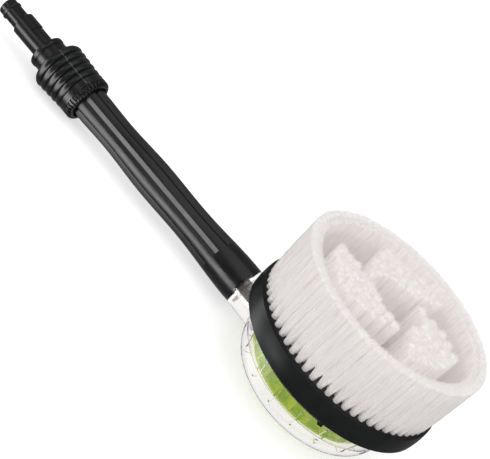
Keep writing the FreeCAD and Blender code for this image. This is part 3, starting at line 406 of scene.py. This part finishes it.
@dataclass(frozen=True)
class NylonFilament(Surface):
    """White nylon filament, drawn: satin and slightly translucent, with strands of slightly different white.

    Attributes:
        name: name of the material.
        colour: colour of the cut tips, paler than the sides as a painted highlight on the tops.
        side: colour of the upper sides.
        root: colour at the foot, darker as painted shade next to the plate.
        strand: colour of the duller strands.
        strand_mm: width of one strand of the pattern.
        strand_strength: how much of their own colour the duller strands show.
        side_share: share of the height from which the sides have their own colour.
        tip_shares: shares of the height between which the sides turn into the tips.
    """

    name: str = "nylon filament, drawn"
    colour: str = "#fdfbfa"
    side: str = "#f2eeec"
    root: str = "#eeeae8"
    strand: str = "#dad5d3"
    strand_mm: float = 0.9
    strand_strength: float = 0.7
    side_share: float = 0.6
    tip_shares: tuple[float, float] = (0.955, 0.98)

    def fill(self, tree: bpy.types.NodeTree) -> None:
        """Adds the nodes of the filament.

        Args:
            tree: the material's empty node tree.
        """
        place = add_node(tree, "ShaderNodeTexCoord").outputs["Object"]
        height = add_node(tree, "ShaderNodeSeparateXYZ", links={"Vector": place}).outputs["Z"]
        span = {"From Min": PLATE_TOP_Z * MM, "From Max": (PLATE_TOP_Z + BRISTLE_LENGTH) * MM}
        share = add_node(tree, "ShaderNodeMapRange", span, {"Value": height}).outputs["Result"]
        # The strands run up the tuft, so the noise is stretched about thirty times along Z.
        drawn = add_node(tree, "ShaderNodeMapping", {"Scale": (1.0, 1.0, 0.03)}, {"Vector": place})
        size = {"Scale": per_metre(self.strand_mm), "Detail": 1.0}
        strand = add_node(
            tree, "ShaderNodeTexNoise", size, {"Vector": drawn.outputs["Vector"]}
        ).outputs["Fac"]
        side_end, tip_start = self.tip_shares
        # Painted light: darker at the foot as painted shade next to the plate, and paler at the tips as a
        # painted highlight on the tops.
        stops = [
            (0.0, linear(self.root)),
            (self.side_share, linear(self.side)),
            (side_end, linear(self.side)),
            (tip_start, linear(self.colour)),
        ]
        tone = add_node(tree, "ShaderNodeValToRGB", links={"Fac": share}, stops=stops).outputs["Color"]
        faint = {"From Min": 0.5, "From Max": 0.75, "To Max": self.strand_strength}
        dull = add_node(tree, "ShaderNodeMapRange", faint, {"Value": strand}).outputs["Result"]
        varied = add_node(
            tree, "ShaderNodeMix", {"B": linear(self.strand)}, {"Factor": dull, "A": tone}, data_type="RGBA"
        )
        shader = add_node(
            tree,
            "ShaderNodeBsdfPrincipled",
            {
                "Roughness": 0.5,
                "IOR": 1.53,
                "Specular IOR Level": 0.3,
                "Subsurface Weight": 0.35,
                "Subsurface Radius": (0.0015, 0.0015, 0.0015),
                # Painted light: an even glow of the filaments themselves, which keeps the shaded gaps between
                # filaments pale.
                "Emission Color": linear("#f7f1f0"),
                "Emission Strength": 0.15,
            },
            {"Base Color": varied.outputs["Result"]},
        )
        add_node(tree, "ShaderNodeOutputMaterial", links={"Surface": shader.outputs["BSDF"]})


CLEAR_STYRENE = ClearStyrene()
NYLON = NylonFilament()


def dress(node: str, finish: Surface) -> None:
    """Gives a carried CAD piece its material.

    Args:
        node: name of the piece.
        finish: the finish it gets.
    """
    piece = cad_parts[node]
    piece.data.materials.clear()
    piece.data.materials.append(finish.material())
    LOG.info("dressed %s in %s", node, finish.name)


@dataclass
class Draft:
    """Corners, in millimetres, and faces of a piece while it is drawn."""

    points: list[Sequence[float]] = field(default_factory=list)
    faces: list[Sequence[int]] = field(default_factory=list)

    def tube(self, rings: Sequence[Sequence[Sequence[float]]]) -> None:
        """Adds a tube with closed ends.

        Args:
            rings: corners of each cross-section, from the foot up.
        """
        first, sides = len(self.points), len(rings[0])
        for ring in rings:
            self.points.extend(ring)
        last = len(self.points) - sides
        for start in range(first, last, sides):
            for corner in range(sides):
                a = start + corner
                b = start + (corner + 1) % sides
                self.faces.append((a, b, b + sides, a + sides))
        self.faces.append(tuple(reversed(range(first, first + sides))))
        self.faces.append(tuple(range(last, last + sides)))


def add_piece(name: str, draft: Draft, body: str, finish: Surface) -> bpy.types.Object:
    """Makes a mesh piece from its draft and puts it on its body.

    Args:
        name: name of the piece.
        draft: its corners and faces, in the part's frame.
        body: the moving body it rides on.
        finish: its finish.

    Returns:
        The new object.
    """
    mesh = bpy.data.meshes.new(name)
    mesh.from_pydata([(x * MM, y * MM, z * MM) for x, y, z in draft.points], [], draft.faces)
    mesh.validate()
    mesh.shade_smooth()
    mesh.materials.append(finish.material())
    piece = bpy.data.objects.new(name, mesh)
    bpy.context.scene.collection.objects.link(piece)
    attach(piece, body)
    LOG.info("built %s with %d faces on %s", name, len(mesh.polygons), body)
    return piece


@dataclass
class Tuft:
    """One tuft: a round gathered root that opens into a squarer bundle, around a solid heart.

    Attributes:
        root: middle of its foot.
        tip: middle of its tip.
        root_radius: radius of the foot.
        across: half width across the row at the tip.
        along: half width along the row at the tip.
        opening: share of the height at which it has its full width.
        skin: how many filaments stand around it.
        core: how many filaments stand inside it.
        crown: how far its edge stays under its middle, as a share of its length.
        root_power: power of its outline at the foot, where 2 is round.
        tip_power: power of its outline at the tip, where more is squarer.
    """

    root: Vector
    tip: Vector
    root_radius: float = 2.05
    across: float = 2.75
    along: float = 3.7
    opening: float = 0.34
    skin: int = 30
    core: int = 34
    crown: float = 0.004
    root_power: float = 2.0
    tip_power: float = 6.0

    @property
    def outwards(self) -> Vector:
        """Direction away from the head axis."""
        return Vector((self.root.x, self.root.y, 0.0)).normalized()

    def place(self, angle: float, reach: float, share: float) -> Vector:
        """Point of the tuft.

        Args:
            angle: direction from the tuft's middle, in radians.
            reach: distance from the middle, where 1 is its outline.
            share: height as a share of the tuft's length.

        Returns:
            The point in millimetres.
        """
        rise = min(1.0, max(0.0, share / self.opening))
        fan = rise * rise * (3.0 - 2.0 * rise)
        power = self.root_power + (self.tip_power - self.root_power) * fan
        bulge = (abs(math.cos(angle)) ** power + abs(math.sin(angle)) ** power) ** (-1.0 / power)
        wide = self.root_radius + (self.across - self.root_radius) * fan
        long = self.root_radius + (self.along - self.root_radius) * fan
        out = self.outwards
        side = Vector((-out.y, out.x, 0.0))
        middle = self.root.lerp(self.tip, share)
        return middle + (out * (math.cos(angle) * wide) + side * (math.sin(angle) * long)) * (reach * bulge)


@dataclass(frozen=True)
class Row:
    """One row of the ring of tufts.

    Attributes:
        name: what the row is called.
        root_radius: radius of the circle of feet.
        tip_radius: radius of the circle of tips.
        drop: how far its tips stay under the full bristle length.
    """

    name: str
    root_radius: float
    tip_radius: float
    drop: float


@dataclass
class Bristles:
    """All the tufts of the head, drawn as bundles of filaments, in millimetres and degrees.

    Attributes:
        rows: the rows of the ring.
        ring_tufts: tufts in one row.
        ring_overlap: how far a tuft of a row opens into its neighbours.
        ring_sway: how far a tip leans along the row.
        ring_fall: how far a tip stays under its row.
        ring_openings: shares of the height at which tufts have their full width.
        clumps: number of clumps inside the ring.
        clump_rows: rows of tufts in a clump.
        clump_radius: radius of a clump's outer row.
        clump_row_step: distance between its rows.
        clump_tuft_step: distance between tufts in a row.
        clump_first_angle: where the first clump's own angles start.
        clump_edge: distance of a clump's straight edge from the head axis.
        clump_edge_angle: direction in which that edge faces.
        clump_tail_angle: end of the inner row.
        clump_tail_far_angle: end of the outer row.
        clump_tail_power: how the ends of the rows between them curve.
        clump_sway: how far a tip leans.
        clump_drop: how far the tips stay under the full bristle length.
        clump_heights: how far a tip is off that height.
        clump_widths: half widths of tufts at the tip.
        clump_tuft: further sizes of a clump's tuft.
        heart_sides: corners around a tuft's heart.
        heart_sections: heights and sizes of the heart, as shares of the tuft's.
        heart_top: height at which the heart's dome ends, as a share.
        heart_dome: rise as a share of the tuft's crown, further rise, and size, for each section of the dome.
        skin_scatter: how far a filament of the skin is off its even place, as a share of the spacing.
        skin_reaches: least and most distance of the skin from the middle.
        core_reach: how far the inner filaments reach.
        core_scatter: how far an inner filament is off its even place, in radians.
        filament_radius: radius of a filament, drawn thicker than the real one, so that it shows.
        filament_sides: corners around a filament.
        filament_drift: how far a filament drifts around the tuft, in radians.
        filament_leans: how far it leans inwards and outwards.
        filament_taper: share of it at the tip.
        filament_shares: heights of its cross-sections, as shares of its length.
        unevenness: how much shorter a filament can be.
        chance: source of every random draw.
    """

    rows: tuple[Row, ...] = (
        Row("outer_row", RIM_RADIUS - 4.8, RIM_RADIUS - 3.5, 0.0),
        Row("second_row", RIM_RADIUS - 10.4, RIM_RADIUS - 8.4, 1.6),
    )
    ring_tufts: int = 66
    ring_overlap: float = 0.45
    ring_sway: float = 0.35
    ring_fall: float = 0.4
    ring_openings: tuple[float, float] = (0.26, 0.4)
    clumps: int = 3
    clump_rows: int = 5
    clump_radius: float = RIM_RADIUS - 27.4
    clump_row_step: float = 6.9
    clump_tuft_step: float = 6.5
    clump_first_angle: float = 180.0
    clump_edge: float = 17.6
    clump_edge_angle: float = 81.5
    clump_tail_angle: float = 115.0
    clump_tail_far_angle: float = 67.0
    clump_tail_power: float = 0.75
    clump_sway: float = 1.1
    clump_drop: float = 0.6
    clump_heights: tuple[float, float] = (-2.6, 0.2)
    clump_widths: tuple[float, float] = (2.9, 3.7)
    clump_tuft: dict[str, Any] = field(
        default_factory=lambda: {"opening": 0.3, "skin": 24, "core": 40, "crown": 0.035}
    )
    heart_sides: int = 20
    heart_sections: tuple[tuple[float, float], ...] = (
        (0.0, 0.95), (0.08, 0.96), (0.16, 0.96), (0.24, 0.97), (0.32, 0.98), (0.42, 0.99), (0.7, 0.99),
    )
    heart_top: float = 0.955
    heart_dome: tuple[Point, ...] = ((0.0, 0.0, 0.94), (0.55, 0.0, 0.78), (0.9, 0.004, 0.4))
    skin_scatter: float = 0.35
    skin_reaches: tuple[float, float] = (0.95, 1.01)
    core_reach: float = 0.88
    core_scatter: float = 0.3
    filament_radius: float = 0.26
    filament_sides: int = 3
    filament_drift: float = 0.12
    filament_leans: tuple[float, float] = (-0.06, 0.08)
    filament_taper: float = 0.7
    filament_shares: tuple[float, ...] = (0.0, 0.1, 0.2, 0.3, 0.42, 0.75, 1.0)
    unevenness: float = 0.8
    chance: random.Random = field(default_factory=lambda: random.Random(7))

    def ring(self, row: Row) -> list[Tuft]:
        """Tufts of one row of the ring.

        Args:
            row: the row.

        Returns:
            The tufts.
        """
        tufts = []
        along = math.pi * row.tip_radius / self.ring_tufts + self.ring_overlap
        for index in range(self.ring_tufts):
            angle = math.radians(index * 360.0 / self.ring_tufts)
            out = Vector((math.cos(angle), math.sin(angle), 0.0))
            side = Vector((-out.y, out.x, 0.0))
            foot = out * row.root_radius + Vector((0, 0, PLATE_TOP_Z))
            tip = out * row.tip_radius + side * self.chance.uniform(-self.ring_sway, self.ring_sway)
            tip.z = PLATE_TOP_Z + BRISTLE_LENGTH - row.drop - self.chance.uniform(0.0, self.ring_fall)
            tufts.append(Tuft(foot, tip, along=along, opening=self.chance.uniform(*self.ring_openings)))
        return tufts

    def clump(self, number: int) -> list[Tuft]:
        """Tufts of one of the clumps inside the ring.

        Args:
            number: the clump, counted from 0.

        Returns:
            The tufts.
        """
        turn = self.clump_first_angle + number * 360.0 / self.clumps
        tufts = []
        for row in range(self.clump_rows):
            radius = self.clump_radius - (self.clump_rows - 1 - row) * self.clump_row_step
            start = self.clump_edge_angle - math.degrees(math.acos(self.clump_edge / radius))
            share = (row / (self.clump_rows - 1)) ** self.clump_tail_power
            end = self.clump_tail_angle + (self.clump_tail_far_angle - self.clump_tail_angle) * share
            steps = max(1, round(math.radians(end - start) * radius / self.clump_tuft_step))
            for step in range(steps + 1):
                angle = math.radians(turn + start + (end - start) * step / steps)
                foot = Vector((math.cos(angle), math.sin(angle), 0.0)) * radius + Vector((0, 0, PLATE_TOP_Z))
                sway = Vector((self.chance.uniform(-1, 1), self.chance.uniform(-1, 1), 0)) * self.clump_sway
                height = BRISTLE_LENGTH - self.clump_drop + self.chance.uniform(*self.clump_heights)
                wide = self.chance.uniform(*self.clump_widths)
                deep = self.chance.uniform(*self.clump_widths)
                tip = foot + Vector((0, 0, height)) + sway
                tufts.append(Tuft(foot, tip, across=wide, along=deep, **self.clump_tuft))
        return tufts

    def draw(self, name: str, tufts: list[Tuft], node: str) -> bpy.types.Object:
        """Draws tufts as one piece that stands for a CAD node.

        Args:
            name: name of the piece.
            tufts: the tufts.
            node: the CAD node it replaces.

        Returns:
            The piece.
        """
        draft = Draft()
        for tuft in tufts:
            self.heart(tuft, draft)
            for index in range(tuft.skin):
                off = self.chance.uniform(-self.skin_scatter, self.skin_scatter)
                turn = math.tau * (index + off) / tuft.skin
                self.filament(tuft, turn, self.chance.uniform(*self.skin_reaches), draft)
            for index in range(tuft.core):
                reach = self.core_reach * math.sqrt((index + 0.5) / tuft.core)
                off = self.chance.uniform(-self.core_scatter, self.core_scatter)
                self.filament(tuft, index * GOLDEN_ANGLE + off, reach, draft)
        piece = add_piece(name, draft, "brush", NYLON)
        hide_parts(node)
        return piece

    def heart(self, tuft: Tuft, draft: Draft) -> None:
        """Adds the dense middle of a tuft, which stops the light between its filaments.

        Args:
            tuft: the tuft.
            draft: the draft that it adds to.
        """
        low = self.heart_top - tuft.crown * self.heart_dome[-1][0]
        dome = [(low + tuft.crown * rise + further, size) for rise, further, size in self.heart_dome]
        turns = [math.tau * corner / self.heart_sides for corner in range(self.heart_sides)]
        sections = [*self.heart_sections, *dome]
        draft.tube([[tuple(tuft.place(turn, size, share)) for turn in turns] for share, size in sections])

    def filament(self, tuft: Tuft, turn: float, reach: float, draft: Draft) -> None:
        """Adds one filament.

        Args:
            tuft: the tuft it belongs to.
            turn: its direction from the tuft's middle, in radians.
            reach: its distance from the middle, where 1 is the tuft's outline.
            draft: the draft that it adds to.
        """
        drift = self.chance.uniform(-self.filament_drift, self.filament_drift)
        lean = self.chance.uniform(*self.filament_leans)
        length = 1.0 - tuft.crown * reach * reach - self.chance.uniform(0, self.unevenness) / BRISTLE_LENGTH
        twist = self.chance.uniform(0, 2)
        sides = self.filament_sides
        corners = [twist + corner * math.tau / sides for corner in range(sides)]
        rings = []
        for share in self.filament_shares:
            bend = share * share
            spot = tuft.place(turn + drift * bend, reach + lean * bend, share * length)
            radius = self.filament_radius * (1.0 if share < 1 else self.filament_taper)
            rings.append(
                [(spot.x + radius * math.cos(a), spot.y + radius * math.sin(a), spot.z) for a in corners]
            )
        draft.tube(rings)

    def build(self) -> None:
        """Builds every row and clump."""
        for row in self.rows:
            self.draw(f"{row.name}_filaments", self.ring(row), f"{row.name}_tufts")
        for number in range(self.clumps):
            self.draw(f"clump_{number + 1}_filaments", self.clump(number), f"clump_{number + 1}_tufts")


@dataclass
class Assembly:
    """Pieces that keep their CAD shape, each with its finish."""

    finishes: dict[str, Surface] = field(default_factory=dict)

    def build(self) -> None:
        """Dresses the pieces."""
        for node, finish in self.finishes.items():
            dress(node, finish)


@dataclass
class Wand(Assembly):
    """Handle, pipe, clear housing and seals: everything that stays still in the hand."""

    finishes: dict[str, Surface] = field(
        default_factory=lambda: {
            "handle_tube": BLACK_POLYPROPYLENE,
            "water_pipe": DARK_POLYETHYLENE,
            "pipe_socket": DARK_POLYETHYLENE,
            "swivel_bush": WHITE_ACETAL,
            "swivel_seal": NITRILE_RUBBER,
            "front_seal": BROWN_RUBBER,
            "jet_nozzle": DARK_POLYETHYLENE,
            "clear_housing": CLEAR_STYRENE,
            "axle": STAINLESS_STEEL,
            "thrust_washer": WHITE_ACETAL,
            "deck_gasket": NITRILE_RUBBER,
            "gear_deck": BLACK_POLYPROPYLENE,
            "housing_clips": BLACK_POLYPROPYLENE,
            "planet_pins": STAINLESS_STEEL,
            "planet_retainers": STAINLESS_STEEL,
            "brush_washer": STAINLESS_STEEL,
            "centre_screw": STAINLESS_STEEL,
        }
    )


@dataclass
class HoseAdapter(Assembly):
    """Bayonet plug with its collar, ribbed grip and knurled ring."""

    finishes: dict[str, Surface] = field(
        default_factory=lambda: {
            "spigot": BLACK_POLYPROPYLENE,
            "spigot_o_ring": NITRILE_RUBBER,
            "stem_clip": STAINLESS_STEEL,
            "adapter_collar": BLACK_POLYPROPYLENE,
            "grip_sleeve": BLACK_RUBBER,
            "knurled_ring": BLACK_POLYPROPYLENE,
        }
    )


@dataclass
class Drive(Assembly):
    """Turbine wheel and planetary gears."""

    finishes: dict[str, Surface] = field(
        default_factory=lambda: {
            "turbine_wheel": LIME_POLYPROPYLENE,
            "turbine_bushes": BEARING_BRONZE,
            "sun_pinion": WHITE_ACETAL,
            "planet_gear_1": WHITE_ACETAL,
            "planet_gear_2": WHITE_ACETAL,
            "planet_gear_3": WHITE_ACETAL,
            "ring_gear": WHITE_ACETAL,
        }
    )


@dataclass
class BrushHead(Assembly):
    """Turning plate with its band, hub bush and cap, and the bristles."""

    finishes: dict[str, Surface] = field(
        default_factory=lambda: {
            "brush_disc": BLACK_POLYPROPYLENE,
            "brush_bush": BEARING_BRONZE,
            "brush_rim": SATIN_POLYPROPYLENE,
            "centre_cap": BLACK_POLYPROPYLENE,
        }
    )
    bristles: Bristles = field(default_factory=Bristles)

    def build(self) -> None:
        """Dresses the plate and builds the bristles."""
        super().build()
        self.bristles.build()


def mirror_ray(tree: bpy.types.NodeTree, rays: bpy.types.Node) -> bpy.types.NodeSocket:
    """Adds the test for a ray that a glossy surface mirrors, without those that pass through clear plastic.

    Args:
        tree: the node tree.
        rays: its light path node.

    Returns:
        The socket that is 1 for such a ray.
    """
    return add_node(
        tree,
        "ShaderNodeMath",
        links={0: rays.outputs["Is Glossy Ray"], 1: rays.outputs["Is Transmission Ray"]},
        operation="SUBTRACT",
        use_clamp=True,
    ).outputs["Value"]


@dataclass(frozen=True)
class PaperFloor(Surface):
    """White paper, which the camera sees as white with a soft shadow.

    Attributes:
        name: name of the material.
        colour: colour of the paper.
        glow: light that the camera sees on top of the lit paper.
        mirrored: brightness of the floor in mirrored light.
        cards: middle, half lengths in metres and brightness of its bright patches in mirrored light.
        card_core: share of a patch that has its full brightness.
    """

    name: str = "white paper floor"
    colour: str = "#dedede"
    glow: float = 0.6
    mirrored: float = 0.3
    cards: tuple[tuple[tuple[float, float], tuple[float, float], float], ...] = (
        ((-0.30, -0.069), (0.30, 0.044), 8.0),
        ((-0.105, -0.145), (0.07, 0.05), 11.0),
    )
    card_core: float = 0.6

    def fill(self, tree: bpy.types.NodeTree) -> None:
        """Adds the nodes of the paper.

        Args:
            tree: the material's empty node tree.
        """
        rays = add_node(tree, "ShaderNodeLightPath")
        paper = add_node(tree, "ShaderNodeBsdfDiffuse", {"Color": linear(self.colour)}).outputs["BSDF"]
        glow = add_node(tree, "ShaderNodeEmission", {"Color": linear(WHITE), "Strength": self.glow})
        both = add_node(tree, "ShaderNodeAddShader", links={0: paper, 1: glow.outputs["Emission"]})
        bright = add_node(tree, "ShaderNodeEmission", {"Color": linear(WHITE), "Strength": 1.0})
        mirrored = add_node(tree, "ShaderNodeEmission", links={"Strength": self.card_light(tree)})
        shown = paper
        for test, shader in (
            (rays.outputs["Is Camera Ray"], both.outputs["Shader"]),
            (rays.outputs["Is Transmission Ray"], bright.outputs["Emission"]),
            (mirror_ray(tree, rays), mirrored.outputs["Emission"]),
        ):
            mix = {0: test, 1: shown, 2: shader}
            shown = add_node(tree, "ShaderNodeMixShader", links=mix).outputs["Shader"]
        add_node(tree, "ShaderNodeOutputMaterial", links={"Surface": shown})

    def card_light(self, tree: bpy.types.NodeTree) -> bpy.types.NodeSocket:
        """Adds the soft bright patches that glossy pieces mirror, as white cards beside them would be.

        Args:
            tree: the floor material's node tree.

        Returns:
            The socket that holds the floor's brightness for mirrored light.
        """
        place = add_node(tree, "ShaderNodeTexCoord").outputs["Object"]
        total = None
        for centre, reach, strength in self.cards:
            vector = place
            for values, operation in (((*centre, 0.0), "SUBTRACT"), ((*reach, 1.0), "DIVIDE")):
                vector = add_node(
                    tree, "ShaderNodeVectorMath", {1: values}, {0: vector}, operation=operation
                ).outputs["Vector"]
            far = add_node(tree, "ShaderNodeVectorMath", links={0: vector}, operation="LENGTH")
            patch = add_node(
                tree,
                "ShaderNodeMapRange",
                {"From Min": 1.0, "From Max": self.card_core, "To Max": strength},
                {"Value": far.outputs["Value"]},
                interpolation_type="SMOOTHSTEP",
            ).outputs["Result"]
            inputs, links = ({1: self.mirrored}, {0: patch}) if total is None else ({}, {0: total, 1: patch})
            total = add_node(tree, "ShaderNodeMath", inputs, links, operation="ADD").outputs["Value"]
        return total


@dataclass(frozen=True)
class Lamp:
    """A soft square lamp.

    Attributes:
        name: name of the lamp.
        place: where it hangs, in metres.
        aim: the point it faces, in metres.
        side: length of its side in metres.
        power: its power in watts.
    """

    name: str
    place: Point
    aim: Point
    side: float
    power: float

    def hang(self) -> None:
        """Adds the lamp to the scene."""
        data = bpy.data.lights.new(self.name, "AREA")
        data.energy = self.power
        data.shape = "SQUARE"
        data.size = self.side
        lamp = bpy.data.objects.new(self.name, data)
        bpy.context.scene.collection.objects.link(lamp)
        lamp.location = self.place
        lamp.rotation_euler = (Vector(self.aim) - Vector(self.place)).to_track_quat("-Z", "Y").to_euler()


@dataclass
class Studio:
    """Pale floor, soft lamps and the camera.

    Attributes:
        camera_place: where the camera stands, in millimetres.
        right: the picture's right-hand direction.
        up: the picture's upward direction.
        forward: the direction in which the camera looks.
        lens: its focal length in millimetres.
        sensor: width of its sensor in millimetres.
        air: strength of the light from all sides.
        air_mirrored: brightness of the room in mirrored light.
        floor_reach: half the floor's width in metres.
        lamps: the lamps.
    """

    camera_place: Point = (52.0, -776.9, 469.8)
    right: Point = (0.6379, 0.4650, 0.6139)
    up: Point = (-0.7481, 0.1850, 0.6372)
    forward: Point = (-0.1827, 0.8657, -0.4659)
    lens: float = 91.84
    sensor: float = 36.0
    air: float = 0.6
    air_mirrored: float = 0.25
    floor_reach: float = 6.0
    lamps: tuple[Lamp, ...] = (
        Lamp("key_softbox", (-1.0, -1.0, 0.7), (-0.1, 0.0, 0.05), 0.5, 1.6),
        Lamp("fill_softbox", (0.15, -0.35, 1.6), (0.0, 0.0, 0.05), 2.0, 12.0),
    )

    def lay_floor(self) -> None:
        """Lays the floor."""
        mesh = bpy.data.meshes.new("studio_floor")
        reach = self.floor_reach
        corners = [(-reach, -reach, 0), (reach, -reach, 0), (reach, reach, 0), (-reach, reach, 0)]
        mesh.from_pydata(corners, [], [(0, 1, 2, 3)])
        mesh.materials.append(PaperFloor().material())
        sheet = bpy.data.objects.new("studio_floor", mesh)
        bpy.context.scene.collection.objects.link(sheet)

    def fill_air(self) -> None:
        """Sets up the world: white to the camera and through the housing, dimmer in mirrored light."""
        world = bpy.data.worlds.new("studio air")
        tree = empty_tree(world)
        rays = add_node(tree, "ShaderNodeLightPath")
        seen = add_node(
            tree,
            "ShaderNodeMath",
            links={0: rays.outputs["Is Camera Ray"], 1: rays.outputs["Is Transmission Ray"]},
            operation="MAXIMUM",
        ).outputs["Value"]
        air, white, dim = (
            add_node(
                tree, "ShaderNodeBackground", {"Color": linear(WHITE), "Strength": strength}
            ).outputs["Background"]
            for strength in (self.air, 1.0, self.air_mirrored)
        )
        shown = air
        for test, shader in ((seen, white), (mirror_ray(tree, rays), dim)):
            mix = {0: test, 1: shown, 2: shader}
            shown = add_node(tree, "ShaderNodeMixShader", links=mix).outputs["Shader"]
        add_node(tree, "ShaderNodeOutputWorld", links={"Surface": shown})
        bpy.context.scene.world = world

    def place_camera(self) -> None:
        """Sets up the camera from which the photograph was taken."""
        data = bpy.data.cameras.new("photo_camera")
        data.lens = self.lens
        data.sensor_width = self.sensor
        data.clip_start = 0.01
        camera = bpy.data.objects.new("photo_camera", data)
        bpy.context.scene.collection.objects.link(camera)
        axes = Matrix((self.right, self.up, tuple(-c for c in self.forward))).transposed().to_4x4()
        axes.translation = Vector(self.camera_place) * MM
        camera.matrix_world = axes
        bpy.context.scene.camera = camera

    def build(self) -> None:
        """Sets up the whole stage."""
        bpy.context.scene.view_settings.view_transform = "Standard"
        self.fill_air()
        self.lay_floor()
        for lamp in self.lamps:
            lamp.hang()
        self.place_camera()


def main() -> None:
    """Builds the brush from the inside out, then the studio."""
    logging.basicConfig(level=logging.INFO, format="%(message)s")
    for assembly in (Wand(), Drive(), HoseAdapter(), BrushHead(), Studio()):
        assembly.build()


if __name__ == "__main__":
    main()
